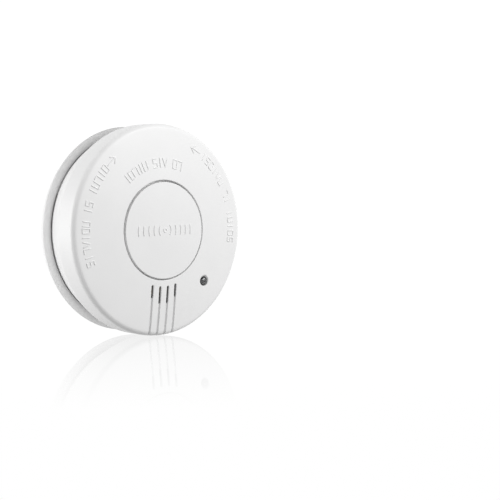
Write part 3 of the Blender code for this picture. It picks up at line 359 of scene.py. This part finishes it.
WHITE = (0.833, 0.832, 0.832)
materials = {
    "white_shell": moulded("white_shell", WHITE, 0.42, Specular_IOR_Level=0.45),
    "white_plate": moulded("white_plate", (0.805, 0.804, 0.804), 0.55, strength=0.03,
                           Specular_IOR_Level=0.25),
    "white_mark": moulded("white_mark", WHITE, 0.38, Specular_IOR_Level=0.45),
    "smoked_clear": moulded("smoked_clear", (0.30, 0.31, 0.32), 0.03, 0.9, 900.0, 0.02,
                            Transmission_Weight=0.85, IOR=1.5),
    "board_green": moulded("board_green", (0.03, 0.20, 0.08), 0.35, 0.7, 1200.0),
    "black_plastic": moulded("black_plastic", (0.02, 0.02, 0.022), 0.5, 0.7),
    "infrared_lens": moulded("infrared_lens", (0.10, 0.12, 0.30), 0.12, 0.8, 900.0, 0.03,
                             Transmission_Weight=0.5),
    "component_ceramic": moulded("component_ceramic", (0.82, 0.80, 0.74), 0.6, 0.9, 2500.0, 0.3),
    "resistor_body": moulded("resistor_body", (0.15, 0.30, 0.45), 0.35, 0.8),
    "coil_copper": moulded("coil_copper", (0.60, 0.28, 0.14), 0.35, 0.6, 2600.0, 0.5, 0.00006,
                           Metallic=0.7),
    "battery_jacket": moulded("battery_jacket", (0.10, 0.11, 0.13), 0.32, 0.75, 700.0, 0.05,
                              Metallic=0.6),
    "red_pvc": moulded("red_pvc", (0.55, 0.02, 0.02), 0.42, 0.8),
    "black_pvc": moulded("black_pvc", (0.02, 0.02, 0.02), 0.42, 0.7),
    "steel": metal("steel", (0.62, 0.62, 0.63), 0.3),
    "brass": metal("brass", (0.34, 0.28, 0.19), 0.38),
    "spring_brass": metal("spring_brass", (0.74, 0.60, 0.32), 0.25),
    "capacitor_sleeve": metal("capacitor_sleeve", (0.75, 0.76, 0.78), 0.3, 500.0),
    "nickel": metal("nickel", (0.70, 0.68, 0.63), 0.22),
}
slot_of = {part["node"]: part["material_slot"] for part in frame["record"]["subparts"]}


def dress_frame():
    """Gives every carried-over CAD node the procedural material of its slot."""
    for name, node in frame["nodes"].items():
        node.data.materials.clear()
        node.data.materials.append(materials[slot_of[name]])
        node.data.shade_smooth()
        node.data.set_sharp_from_angle(angle=math.radians(SHARP_ANGLE))


# --- Front cover ------------------------------------------------------------------------------
def cover_outline():
    hole_edge = (HOLE_RADIUS, face_height(HOLE_RADIUS))
    hole_floor = (HOLE_RADIUS, face_height(HOLE_RADIUS) - FACE_WALL)
    rim_edge = (RIM_RADIUS, face_height(RIM_RADIUS))
    shoulder = (SHOULDER_RADIUS, SHOULDER_HEIGHT)
    rear = (REAR_RADIUS, REAR_HEIGHT)
    face = dome(HOLE_RADIUS + 2.0 * EDGE_FILLET, FACE_END_RADIUS, 24)
    outline = rounded(hole_floor, hole_edge, face[0], EDGE_FILLET, 5) + face
    outline += rounded(face[-1], rim_edge, shoulder, RIM_FILLET, 14)
    outline += rounded(rim_edge, shoulder, rear, SHOULDER_FILLET, 8)
    draw_in = math.atan2(SHOULDER_RADIUS - REAR_RADIUS, SHOULDER_HEIGHT - REAR_HEIGHT)
    inner_rear = (REAR_RADIUS - COVER_WALL / math.cos(draw_in), REAR_HEIGHT)
    inner_shoulder = (SHOULDER_RADIUS - COVER_WALL, SHOULDER_HEIGHT + COVER_WALL * math.tan(draw_in / 2.0))
    inner_rim = RIM_RADIUS - COVER_WALL
    outline += rounded(shoulder, rear, inner_rear, EDGE_FILLET, 5)
    outline += rounded(rear, inner_rear, inner_shoulder, EDGE_FILLET, 4)
    outline += [inner_shoulder, (inner_rim, face_height(inner_rim) - FACE_WALL)]
    outline += dome(inner_rim - RIM_FILLET, HOLE_RADIUS, 12, FACE_WALL)
    return outline


def slot_place(number):
    """How far right of the middle a slot lies."""
    return (number - (SLOT_COUNT - 1) / 2.0) * SLOT_PITCH


def slot_span(x):
    """Top and bottom of the slot at x: they follow the button's ring and the horn's circle."""
    top = -math.sqrt(SLOT_TOP_RADIUS**2 - x**2)
    bottom = SOUND_CIRCLE_Y - math.sqrt(SOUND_CIRCLE_RADIUS**2 - x**2)
    return top, bottom


def capsule(x, top, bottom, half, steps=8):
    """A straight slot's outline with round ends."""
    upper = [math.pi * step / steps for step in range(steps + 1)]
    points = [(x + half * math.cos(a), top - half + half * math.sin(a)) for a in upper]
    points += [(x - half * math.cos(a), bottom + half - half * math.sin(a)) for a in upper]
    return points


# A slot's mouth, in units of the flare: how much wider it is, and height over the surface.
FLARE_SECTION = [(0.0, -1.2), (0.35, -0.45), (1.0, 0.0), (3.0, 1.0)]


def slot_tool(number):
    """A cutter for one open slot; its mouth follows the dome and flares a little."""
    x = slot_place(number)
    top, bottom = slot_span(x)
    half = SLOT_WIDTH / 2.0
    levels = [(SLOT_UNDERCUT, -3.0 * FACE_WALL), (SLOT_UNDERCUT, -SLOT_LIP - SLOT_UNDERCUT)]
    levels.append((0.0, -SLOT_LIP))
    levels += [(grow * SLOT_FLARE, rise * SLOT_FLARE) for grow, rise in FLARE_SECTION]

    def build(shape):
        sections = []
        for grow, rise in levels:
            points = capsule(x, top + grow, bottom - grow, half + grow)
            sections.append([(px, py, face_at(px, py) + rise) for px, py in points])
        loft(shape, sections)
    return piece_from(f"slot_tool_{number}", build)


def groove_path(x, start):
    """Surface points and outward directions from the slot's end over the rim and down the side."""
    path = []
    rim_y = -math.sqrt(FACE_END_RADIUS**2 - x**2)
    for step in range(GROOVE_FACE_STEPS + 1):
        y = start + (rim_y - start) * step / GROOVE_FACE_STEPS
        path.append(((y, face_at(x, y)), (y / DOME_RADIUS, 1.0)))
    face_end = (FACE_END_RADIUS, face_height(FACE_END_RADIUS))
    arc = rounded(face_end, (RIM_RADIUS, face_height(RIM_RADIUS)), (SHOULDER_RADIUS, SHOULDER_HEIGHT),
                  RIM_FILLET, GROOVE_RIM_STEPS)
    for step, (radius, height) in enumerate(arc):
        lean = FACE_END_LEAN + (math.pi / 2.0 - FACE_END_LEAN) * step / (len(arc) - 1)
        path.append(((-math.sqrt(radius**2 - x**2), height), (-math.sin(lean), math.cos(lean))))
    low = arc[-1][1]
    for step in range(1, GROOVE_WALL_STEPS + 1):
        height = low + (GROOVE_END_HEIGHT - low) * step / GROOVE_WALL_STEPS
        radius = RIM_RADIUS - (RIM_RADIUS - SHOULDER_RADIUS) * (low - height) / (low - SHOULDER_HEIGHT)
        path.append(((-math.sqrt(radius**2 - x**2), height), (-1.0, 0.0)))
    return path


# Half of a groove's section: distance from its middle line, and height over the surface.
GROOVE_SECTION = [(0.0, -0.00085), (0.00042, -0.00082), (0.00055, -0.00065), (0.00062, -0.00012),
                  (0.00062, 0.00001), (0.00074, 0.00010), (0.00100, 0.00045)]


def groove_tool(number):
    x = slot_place(number)
    start = slot_span(x)[1] + SLOT_WIDTH
    path = groove_path(x, start)
    profile = GROOVE_SECTION + [(-u, n) for u, n in reversed(GROOVE_SECTION[1:])]

    def build(shape):
        sections = []
        for index, ((y, z), (ny, nz)) in enumerate(path):
            size = math.hypot(ny, nz)
            share = min(1.0, (len(path) - 1 - index) / GROOVE_FADE_STEPS)
            lift = (1.0 - share) * GROOVE_FADE_LIFT
            depth = GROOVE_FADE_DEPTH + (1.0 - GROOVE_FADE_DEPTH) * share
            section = []
            for u, n in profile:
                out = n * depth + lift
                section.append((x + u, y + out * ny / size, z + out * nz / size))
            sections.append(section)
        loft(shape, sections)
    return piece_from(f"groove_tool_{number}", build)


def light_hole_tool():
    hole = LIGHT_PIPE_RADIUS + GAP
    surface = face_height(INDICATOR_RADIUS)
    x, y = indicator_place()
    cone = hole + COUNTERSINK_WIDTH
    outline = [(0.0, surface - 2.0 * FACE_WALL), (hole, surface - 2.0 * FACE_WALL),
               (hole, surface - COUNTERSINK), (cone, surface - COUNTERSINK_LIP),
               (cone + COUNTERSINK_LIP_WIDTH, surface + COUNTERSINK_LIP),
               (hole + COUNTERSINK_OVERRUN, surface + COUNTERSINK), (0.0, surface + COUNTERSINK)]
    return turned("light_hole_tool", outline, segments=64, centre=(x, y))


def indicator_place():
    return INDICATOR_RADIUS * math.cos(INDICATOR_ANGLE), INDICATOR_RADIUS * math.sin(INDICATOR_ANGLE)


def screw_bosses():
    """The three posts behind the face, each with a blind hole for its screw."""
    top = face_height(BOSS_PITCH_RADIUS) - FACE_WALL / 2.0
    outline = [(0.0, PILOT_END_HEIGHT), (PILOT_RADIUS, PILOT_END_HEIGHT), (PILOT_RADIUS, BOSS_REAR_HEIGHT),
               (BOSS_RADIUS, BOSS_REAR_HEIGHT), (BOSS_RADIUS, top), (0.0, top)]
    bosses = []
    for degrees in BOSS_ANGLES:
        angle = math.radians(degrees)
        centre = (BOSS_PITCH_RADIUS * math.cos(angle), BOSS_PITCH_RADIUS * math.sin(angle))
        bosses.append(turned("boss_tool", outline, segments=40, centre=centre))
    return bosses


def make_cover():
    cover = turned("cover_shell", cover_outline(), materials["white_shell"])
    tools = []
    for number in range(SLOT_COUNT):
        tools.append(slot_tool(number))
        tools.append(groove_tool(number))
    tools.append(light_hole_tool())
    apply_tools(cover, tools)
    apply_tools(cover, screw_bosses(), "UNION")
    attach(cover, "alarm")
    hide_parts("front_cover")


# --- Test button ------------------------------------------------------------------------------
def make_button():
    flange_radius = HOLE_RADIUS + BUTTON_FLANGE_WIDTH
    flange_top = face_height(flange_radius) - FACE_WALL - GAP
    flange_low = flange_top - BUTTON_FLANGE
    edge_radius = BUTTON_RADIUS - BUTTON_TRIM
    skirt_inner = BUTTON_RADIUS - BUTTON_SKIRT_WALL
    cap_low = face_height(skirt_inner) - BUTTON_CAP
    post_end = -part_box("tact_switch_plunger")[0].y + PLUNGER_SLACK
    face = dome(0.0, edge_radius - 2.0 * EDGE_FILLET, 20)
    corner = (edge_radius, face_height(edge_radius))
    outline = face + rounded(face[-1], corner, (edge_radius, flange_top), EDGE_FILLET, 6)
    outline += [(edge_radius, flange_top), (flange_radius, flange_top), (flange_radius, flange_low),
                (skirt_inner, flange_low), (skirt_inner, cap_low), (BUTTON_POST_RADIUS, cap_low),
                (BUTTON_POST_RADIUS, post_end), (0.0, post_end)]
    button = turned("button_shell", outline, materials["white_shell"], centre=BUTTON_PLAY)
    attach(button, "button")
    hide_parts("test_button")


# --- Mounting plate ---------------------------------------------------------------------------
def plate_outside(height):
    """Radius of the plate's sloped outside, between its waist and its rim."""
    share = (height - PLATE_WAIST_HEIGHT) / (PLATE_HEIGHT - PLATE_WAIST_HEIGHT)
    return PLATE_WAIST_RADIUS + share * (PLATE_RADIUS - PLATE_WAIST_RADIUS)


def make_plate():
    rim = (PLATE_RADIUS, PLATE_HEIGHT)
    waist = (PLATE_WAIST_RADIUS, PLATE_WAIST_HEIGHT)
    flange_low = PLATE_HEIGHT - PLATE_FLANGE
    flange_tip = (PLATE_FLANGE_RADIUS, PLATE_HEIGHT)
    flange_under = (PLATE_FLANGE_RADIUS, flange_low)
    under_rim = (plate_outside(flange_low) - PLATE_RIM_WALL, flange_low)
    inner_waist = (PLATE_WAIST_RADIUS - PLATE_RIM_WALL, PLATE_WAIST_HEIGHT)
    inner_floor = (PLATE_BACK_RADIUS - PLATE_RIM_WALL / 2.0, PLATE_FLOOR)
    back_edge = (PLATE_BACK_RADIUS, 0.0)
    outline = [(0.0, 0.0)] + rounded((0.0, 0.0), back_edge, waist, PLATE_BACK_FILLET, 4)
    outline += rounded(back_edge, waist, rim, PLATE_WAIST_FILLET, 5)
    outline += rounded(waist, rim, flange_tip, PLATE_RIM_FILLET, 7)
    outline += rounded(rim, flange_tip, flange_under, PLATE_LIP_FILLET, 4)
    outline += [flange_under, under_rim, inner_waist, inner_floor, (0.0, PLATE_FLOOR)]
    plate = turned("plate_shell", outline, materials["white_plate"])
    apply_tools(plate, bayonet_tools(), "UNION")
    apply_tools(plate, [keyhole_tool(side) for side in (-1.0, 1.0)])
    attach(plate, "wall_plate")
    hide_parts("mounting_plate")


def swept(name, corners, start, end, steps=6):
    """A block of (radius, height) corners swept about the axis from one angle to another."""
    def build(shape):
        sections = []
        for step in range(steps + 1):
            angle = math.radians(start + (end - start) * step / steps)
            sections.append([(r * math.cos(angle), r * math.sin(angle), z) for r, z in corners])
        loft(shape, sections)
    return piece_from(name, build)


def rectangle(inner, outer, low, high):
    return [(inner, low), (outer, low), (outer, high), (inner, high)]


def bayonet_tools():
    """The three hooks that hold the alarm's lugs, each with its end stop."""
    hook_low = HOOK_TOP - HOOK_THICKNESS
    outer = plate_outside(hook_low) - PLATE_RIM_WALL / 3.0
    hook = rectangle(HOOK_INNER_RADIUS, outer, hook_low, HOOK_TOP)
    stop = rectangle(HOOK_INNER_RADIUS, HOOK_INNER_RADIUS + STOP_WIDTH, PLATE_FLOOR / 2.0,
                     HOOK_TOP - HOOK_THICKNESS / 2.0)
    tools = []
    for angle in HOOK_ANGLES:
        tools.append(swept("hook_tool", hook, angle + HOOK_START, angle + HOOK_END))
        tools.append(swept("stop_tool", stop, angle + STOP_START, angle + STOP_END))
    return tools


def keyhole_tool(side):
    """One screw keyhole: a round entry that runs into a narrower slot with a round end."""
    x = side * KEYHOLE_X
    half = KEYHOLE_SLOT_WIDTH / 2.0
    opening = math.asin(half / KEYHOLE_ENTRY_RADIUS)
    start = math.pi / 2.0 + opening
    sweep = 2.0 * (math.pi - opening)
    points = []
    for step in range(KEYHOLE_ENTRY_STEPS + 1):
        angle = start + sweep * step / KEYHOLE_ENTRY_STEPS
        points.append((x + KEYHOLE_ENTRY_RADIUS * math.cos(angle),
                       KEYHOLE_ENTRY_Y + KEYHOLE_ENTRY_RADIUS * math.sin(angle)))
    top = KEYHOLE_ENTRY_Y + KEYHOLE_LENGTH
    turns = [math.pi * step / KEYHOLE_END_STEPS for step in range(KEYHOLE_END_STEPS + 1)]
    points += [(x + half * math.cos(a), top + half * math.sin(a)) for a in turns]

    def build(shape):
        loft(shape, [[(px, py, z) for px, py in points] for z in KEYHOLE_CUT])
    return piece_from(f"keyhole_tool_{side}", build)


# --- Raised marks -----------------------------------------------------------------------------
MARK_WIDTH = 0.00055
MARK_RISE = 0.00028
MARK_SHARP = 60.0              # degrees; a mark's own ridges are shaded soft
# A ridge's section, in units of its half width and its rise, and how its ends round off.
RIDGE_ACROSS = [-1.0, -0.94, -0.72, -0.38, 0.0, 0.38, 0.72, 0.94, 1.0]
RIDGE_RISE = [-0.35, 0.30, 0.78, 0.96, 1.0, 0.96, 0.78, 0.30, -0.35]
RIDGE_ENDS = [(0.0, 0.35), (0.6, 0.8)]

OUTER_RING = 0.0436            # the arrows and the outer shapes lie on this ring
OUTER_SIZE = 0.0038
UPPER_RING = 0.0320
UPPER_SIZE = 0.0042
ARROW_HEAD = 0.0019            # half the width of an arrow's head
ARROW_SPREAD = 3.2             # degrees its head reaches back
ARROW_SHAFT = 8.0              # degrees its shaft reaches back
SOUND_RADII = (0.0036, 0.0066, 0.0096, 0.0126, 0.0156)
SOUND_REACH = 0.0022           # half the height of the sound symbol's arcs
SOUND_ARC_STEPS = 10
SOUND_DOT = 0.0009
SOUND_DOT_STEPS = 20


def stroke(shape, path):
    """A low rounded ridge along a path of (x, y) points on the domed face."""
    half = MARK_WIDTH / 2.0
    sections = []
    first = (Vector(path[0]) - Vector(path[1])).normalized() * half
    last = (Vector(path[-1]) - Vector(path[-2])).normalized() * half
    stations = [(Vector(path[0]) + first * (1.0 - share), size) for share, size in RIDGE_ENDS]
    stations += [(Vector(point), 1.0) for point in path]
    stations += [(Vector(path[-1]) + last * (1.0 - share), size) for share, size in RIDGE_ENDS[::-1]]
    for index, (point, size) in enumerate(stations):
        before = stations[max(index - 1, 0)][0]
        after = stations[min(index + 1, len(stations) - 1)][0]
        along = (after - before).normalized()
        side = Vector((-along.y, along.x))
        section = []
        for u, lift in zip(RIDGE_ACROSS, RIDGE_RISE):
            spot = point + side * half * u * size
            section.append((spot.x, spot.y, face_at(spot.x, spot.y) + MARK_RISE * lift * size))
        sections.append(section)
    loft(shape, sections)


def polar(radius, clock):
    """A point at a clock angle in degrees, clockwise from the top."""
    angle = math.radians(90.0 - clock)
    return radius * math.cos(angle), radius * math.sin(angle)


def arc_path(radius, start, end, steps):
    return [polar(radius, start + (end - start) * step / steps) for step in range(steps + 1)]


def raised(name, paths, body):
    def build(shape):
        for path in paths:
            stroke(shape, path)
    marks = piece_from(name, build, materials["white_mark"], MARK_SHARP)
    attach(marks, body)


def twist_arrow(tip, turn):
    """An arrow along the rim with its tip at a clock angle; it points clockwise for a turn of 1."""
    back = tip - turn * ARROW_SPREAD
    head = [polar(OUTER_RING + ARROW_HEAD, back), polar(OUTER_RING, tip)]
    other = [polar(OUTER_RING - ARROW_HEAD, back), polar(OUTER_RING, tip)]
    return [head, other, arc_path(OUTER_RING, tip, tip - turn * ARROW_SHAFT, 6)]


# Generic strokes in a box one unit high: lists of (across, up) points, which spell nothing.
SHAPES = {
    "bar": [[(0.0, -0.5), (0.0, 0.5)]],
    "corner": [[(-0.26, 0.5), (-0.26, -0.5), (0.28, -0.5)]],
    "gate": [[(-0.28, -0.5), (-0.28, 0.5), (0.28, 0.5), (0.28, -0.5)]],
    "roof": [[(-0.32, -0.5), (0.0, 0.5), (0.32, -0.5)]],
    "box": [[(-0.28, -0.5), (-0.28, 0.5), (0.28, 0.5), (0.28, -0.5), (-0.28, -0.5)]],
    "steps": [[(0.28, 0.5), (-0.26, 0.5), (-0.26, 0.0), (0.26, 0.0), (0.26, -0.5), (-0.28, -0.5)]],
}


def shape_paths(shape, height, place):
    """One shape's strokes at a height, with each run split up, set down by a placing function."""
    return [[place(x * height, y * height) for x, y in dense(path)] for path in SHAPES[shape]]


def dense(path, pieces=4):
    """The same path with each straight run split into shorter ones."""
    points = [path[0]]
    for one, two in zip(path, path[1:]):
        for step in range(1, pieces + 1):
            share = step / pieces
            points.append((one[0] + (two[0] - one[0]) * share, one[1] + (two[1] - one[1]) * share))
    return points


def arc_marks(radius, height, start, turn, pitch, groups):
    """Groups of shapes along an arc, their feet outwards, one every pitch degrees from the start angle.

    A space of one shape is left between two groups.
    """
    paths = []
    clock = start
    for group in groups:
        for shape in group:
            def place(x, y, middle=clock):
                return polar(radius - y, middle - math.degrees(x / radius))
            paths += shape_paths(shape, height, place)
            clock += turn * pitch
        clock += turn * pitch
    return paths


def make_marks():
    left = twist_arrow(tip=-37.0, turn=1.0)
    left += arc_marks(OUTER_RING, OUTER_SIZE, start=-47.5, turn=-1.0, pitch=4.1, groups=[
        ["box", "bar", "corner", "gate", "bar"], ["steps", "bar"],
        ["gate", "box", "bar", "roof", "corner", "bar", "steps"]])
    raised("marks_left", left, "alarm")
    right = twist_arrow(tip=26.0, turn=-1.0)
    right += arc_marks(OUTER_RING, OUTER_SIZE, start=38.0, turn=1.0, pitch=4.3, groups=[
        ["bar", "steps", "box", "bar", "roof", "gate"], ["corner", "bar"],
        ["bar", "gate", "bar", "box", "steps"]])
    raised("marks_right", right, "alarm")
    upper = arc_marks(UPPER_RING, UPPER_SIZE, start=-40.0, turn=1.0, pitch=5.4, groups=[
        ["bar", "box", "corner", "bar", "gate"], ["steps", "bar", "roof"], ["box", "corner"]])
    raised("marks_upper", upper, "alarm")
    raised("marks_button", sound_symbol(), "button")


def sound_symbol():
    """A dot with arcs that spread out from it to both sides."""
    waves = []
    for middle in (0.0, math.pi):
        for radius in SOUND_RADII:
            half = math.asin(SOUND_REACH / radius)
            angles = [middle - half + 2.0 * half * step / SOUND_ARC_STEPS
                      for step in range(SOUND_ARC_STEPS + 1)]
            waves.append([(radius * math.cos(a), radius * math.sin(a)) for a in angles])
    dot = [2.0 * math.pi * step / SOUND_DOT_STEPS for step in range(SOUND_DOT_STEPS + 1)]
    return waves + [[(SOUND_DOT * math.cos(a), SOUND_DOT * math.sin(a)) for a in dot]]


# --- Indicator light --------------------------------------------------------------------------
def make_light():
    x, y = indicator_place()
    surface = face_height(INDICATOR_RADIUS)
    base = -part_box("light_pipe")[1].y
    shoulder = surface - LENS_SINK
    angles = [math.pi / 2.0 * step / LENS_CROWN_STEPS for step in range(LENS_CROWN_STEPS)]
    crown = [(LIGHT_PIPE_RADIUS * math.cos(a), shoulder + LENS_CROWN * math.sin(a)) for a in angles]
    wide = LIGHT_PIPE_RADIUS + LENS_FLANGE_WIDTH
    flange = base + LENS_FLANGE
    outline = [(0.0, base), (wide, base), (wide, flange), (LIGHT_PIPE_RADIUS, flange)]
    outline += crown + [(0.0, shoulder + LENS_CROWN)]
    pipe = turned("light_pipe_lens", outline, materials["smoked_clear"], segments=48, centre=(x, y))
    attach(pipe, "alarm")
    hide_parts("light_pipe")


# --- Stage, light and camera ------------------------------------------------------------------
CAMERA_DISTANCE = 0.800
CAMERA_LENS = 121.56
CAMERA_SENSOR = 36.0
CAMERA_CLIP = (0.01, 50.0)
CAMERA_AZIMUTH = math.radians(-41.40)
CAMERA_ELEVATION = math.radians(3.40)
CAMERA_ROLL = math.radians(-0.49)
CAMERA_ASIDE = 0.040744        # the camera looks this far to the right of the alarm
CAMERA_BELOW = 0.009387        # and this far below the middle of its face
AIM_RADIUS = 0.0235            # ring of the domed face whose plane holds the aimed point


def view_axes():
    """The camera's right, up and back directions in world space."""
    azimuth, elevation = CAMERA_AZIMUTH, CAMERA_ELEVATION
    back = Vector((math.sin(azimuth) * math.cos(elevation), -math.cos(azimuth) * math.cos(elevation),
                   math.sin(elevation)))
    level = Vector((0.0, 0.0, 1.0)).cross(back).normalized()
    upright = back.cross(level)
    right = level * math.cos(CAMERA_ROLL) + upright * math.sin(CAMERA_ROLL)
    up = upright * math.cos(CAMERA_ROLL) - level * math.sin(CAMERA_ROLL)
    return right, up, back


def make_camera():
    right, up, back = view_axes()
    middle = Vector((0.0, -face_height(AIM_RADIUS), 0.0))
    place = middle + right * CAMERA_ASIDE - up * CAMERA_BELOW + back * CAMERA_DISTANCE
    data = bpy.data.cameras.new("camera")
    data.sensor_width = CAMERA_SENSOR
    data.lens = CAMERA_LENS
    data.clip_start, data.clip_end = CAMERA_CLIP
    camera = bpy.data.objects.new("camera", data)
    rows = Matrix((right, up, back)).transposed()
    camera.matrix_world = Matrix.Translation(place) @ rows.to_4x4()
    bpy.context.scene.collection.objects.link(camera)
    bpy.context.scene.camera = camera


FLOOR_SIZE = 6.0
FLOOR_DROP = 0.0002            # the floor lies this far under the alarm's lowest point
MIRROR_ROUGHNESS = 0.03
MIRROR_SHARE = 0.30            # how much of the floor's light is a mirror image, close to the alarm
MIRROR_REACH = 0.25            # the mirror image has gone this far in front of the alarm


def make_floor():
    """A bright glossy sheet; its mirror image of the alarm fades out towards the front."""
    def build(shape):
        bmesh.ops.create_grid(shape, x_segments=2, y_segments=2, size=FLOOR_SIZE)
    floor = piece_from("floor", build)
    floor.data.transform(TO_WORLD.inverted())
    floor.location.z = CAD_BOX[0][2] - FLOOR_DROP
    floor.visible_diffuse = False
    floor.visible_shadow = False
    material, tree, shader = new_material("studio_floor")
    tree.nodes.remove(shader)
    plain = tree.nodes.new("ShaderNodeEmission")
    plain.inputs["Color"].default_value = (1.0, 1.0, 1.0, 1.0)
    plain.inputs["Strength"].default_value = 1.0
    mirror = tree.nodes.new("ShaderNodeBsdfGlossy")
    mirror.inputs["Color"].default_value = (1.0, 1.0, 1.0, 1.0)
    mirror.inputs["Roughness"].default_value = MIRROR_ROUGHNESS
    blend = tree.nodes.new("ShaderNodeMixShader")
    tree.links.new(mirror_share(tree), blend.inputs["Fac"])
    tree.links.new(plain.outputs["Emission"], blend.inputs[1])
    tree.links.new(mirror.outputs["BSDF"], blend.inputs[2])
    tree.links.new(blend.outputs["Shader"], tree.nodes["Material Output"].inputs["Surface"])
    floor.data.materials.append(material)


def mirror_share(tree):
    """A value that falls from MIRROR_SHARE to nothing along the floor, away from the alarm's front."""
    coordinates = tree.nodes.new("ShaderNodeTexCoord")
    along = tree.nodes.new("ShaderNodeVectorMath")
    along.operation = "DOT_PRODUCT"
    ahead = Vector((math.sin(CAMERA_AZIMUTH), -math.cos(CAMERA_AZIMUTH), 0.0))
    along.inputs[1].default_value = ahead
    fade = tree.nodes.new("ShaderNodeMapRange")
    fade.inputs["From Min"].default_value = 0.0
    fade.inputs["From Max"].default_value = MIRROR_REACH
    fade.inputs["To Min"].default_value = MIRROR_SHARE
    fade.inputs["To Max"].default_value = 0.0
    tree.links.new(coordinates.outputs["Object"], along.inputs[0])
    tree.links.new(along.outputs["Value"], fade.inputs["Value"])
    return fade.outputs["Result"]


LIGHT_DISTANCE = 2.5
# Each light: azimuth (0 is straight in front), elevation, size, power, and whether the plate is
# left out of its light (EXCLUDE), is all that it lights (INCLUDE) or is lit like the rest (None).
LIGHTS = {
    "key_right": (31.0, 31.0, 1.6, 47.5, "EXCLUDE"),
    "rim_left": (-125.0, 5.0, 1.6, 47.0, None),
    "plate_fill": (-30.0, 0.0, 1.2, 17.0, "INCLUDE"),
    "plate_side": (75.0, 5.0, 1.6, 34.0, "INCLUDE"),
}
AMBIENT = 0.44
BACKDROP = 1.05


def area_light(name, azimuth, elevation, size, power):
    """A square soft light that looks at the alarm."""
    a, e = math.radians(azimuth), math.radians(elevation)
    direction = Vector((math.sin(a) * math.cos(e), -math.cos(a) * math.cos(e), math.sin(e)))
    data = bpy.data.lights.new(name, "AREA")
    data.shape = "SQUARE"
    data.size = size
    data.energy = power
    light = bpy.data.objects.new(name, data)
    light.location = direction * LIGHT_DISTANCE
    light.rotation_euler = direction.to_track_quat("Z", "Y").to_euler()
    bpy.context.scene.collection.objects.link(light)
    return light


def link_light(light, piece, state):
    """Keeps a light to one piece (INCLUDE) or off it (EXCLUDE)."""
    lit = bpy.data.collections.new(light.name + "_receivers")
    lit.objects.link(piece)
    lit.collection_objects[0].light_linking.link_state = state
    light.light_linking.receiver_collection = lit


def make_lights():
    plate = bpy.data.objects["plate_shell"]
    for name, (azimuth, elevation, size, power, state) in LIGHTS.items():
        light = area_light(name, azimuth, elevation, size, power)
        if state is not None:
            link_light(light, plate, state)
    make_world(AMBIENT, BACKDROP)


def make_world(ambient, backdrop):
    """Soft light from all round; the camera and the mirroring floor see a plain white backdrop."""
    world = bpy.data.worlds.new("studio")
    world.use_nodes = True
    nodes, links = world.node_tree.nodes, world.node_tree.links
    soft = nodes["Background"]
    soft.inputs["Color"].default_value = (1.0, 1.0, 1.0, 1.0)
    soft.inputs["Strength"].default_value = ambient
    seen = nodes.new("ShaderNodeBackground")
    seen.inputs["Color"].default_value = (1.0, 1.0, 1.0, 1.0)
    seen.inputs["Strength"].default_value = backdrop
    path = nodes.new("ShaderNodeLightPath")
    mix = nodes.new("ShaderNodeMixShader")
    links.new(path.outputs["Is Diffuse Ray"], mix.inputs["Fac"])
    links.new(seen.outputs["Background"], mix.inputs[1])
    links.new(soft.outputs["Background"], mix.inputs[2])
    links.new(mix.outputs["Shader"], nodes["World Output"].inputs["Surface"])
    bpy.context.scene.world = world
    bpy.context.scene.view_settings.view_transform = "Standard"


make_camera()
dress_frame()
make_cover()
make_button()
make_plate()
make_marks()
make_light()
make_floor()
make_lights()
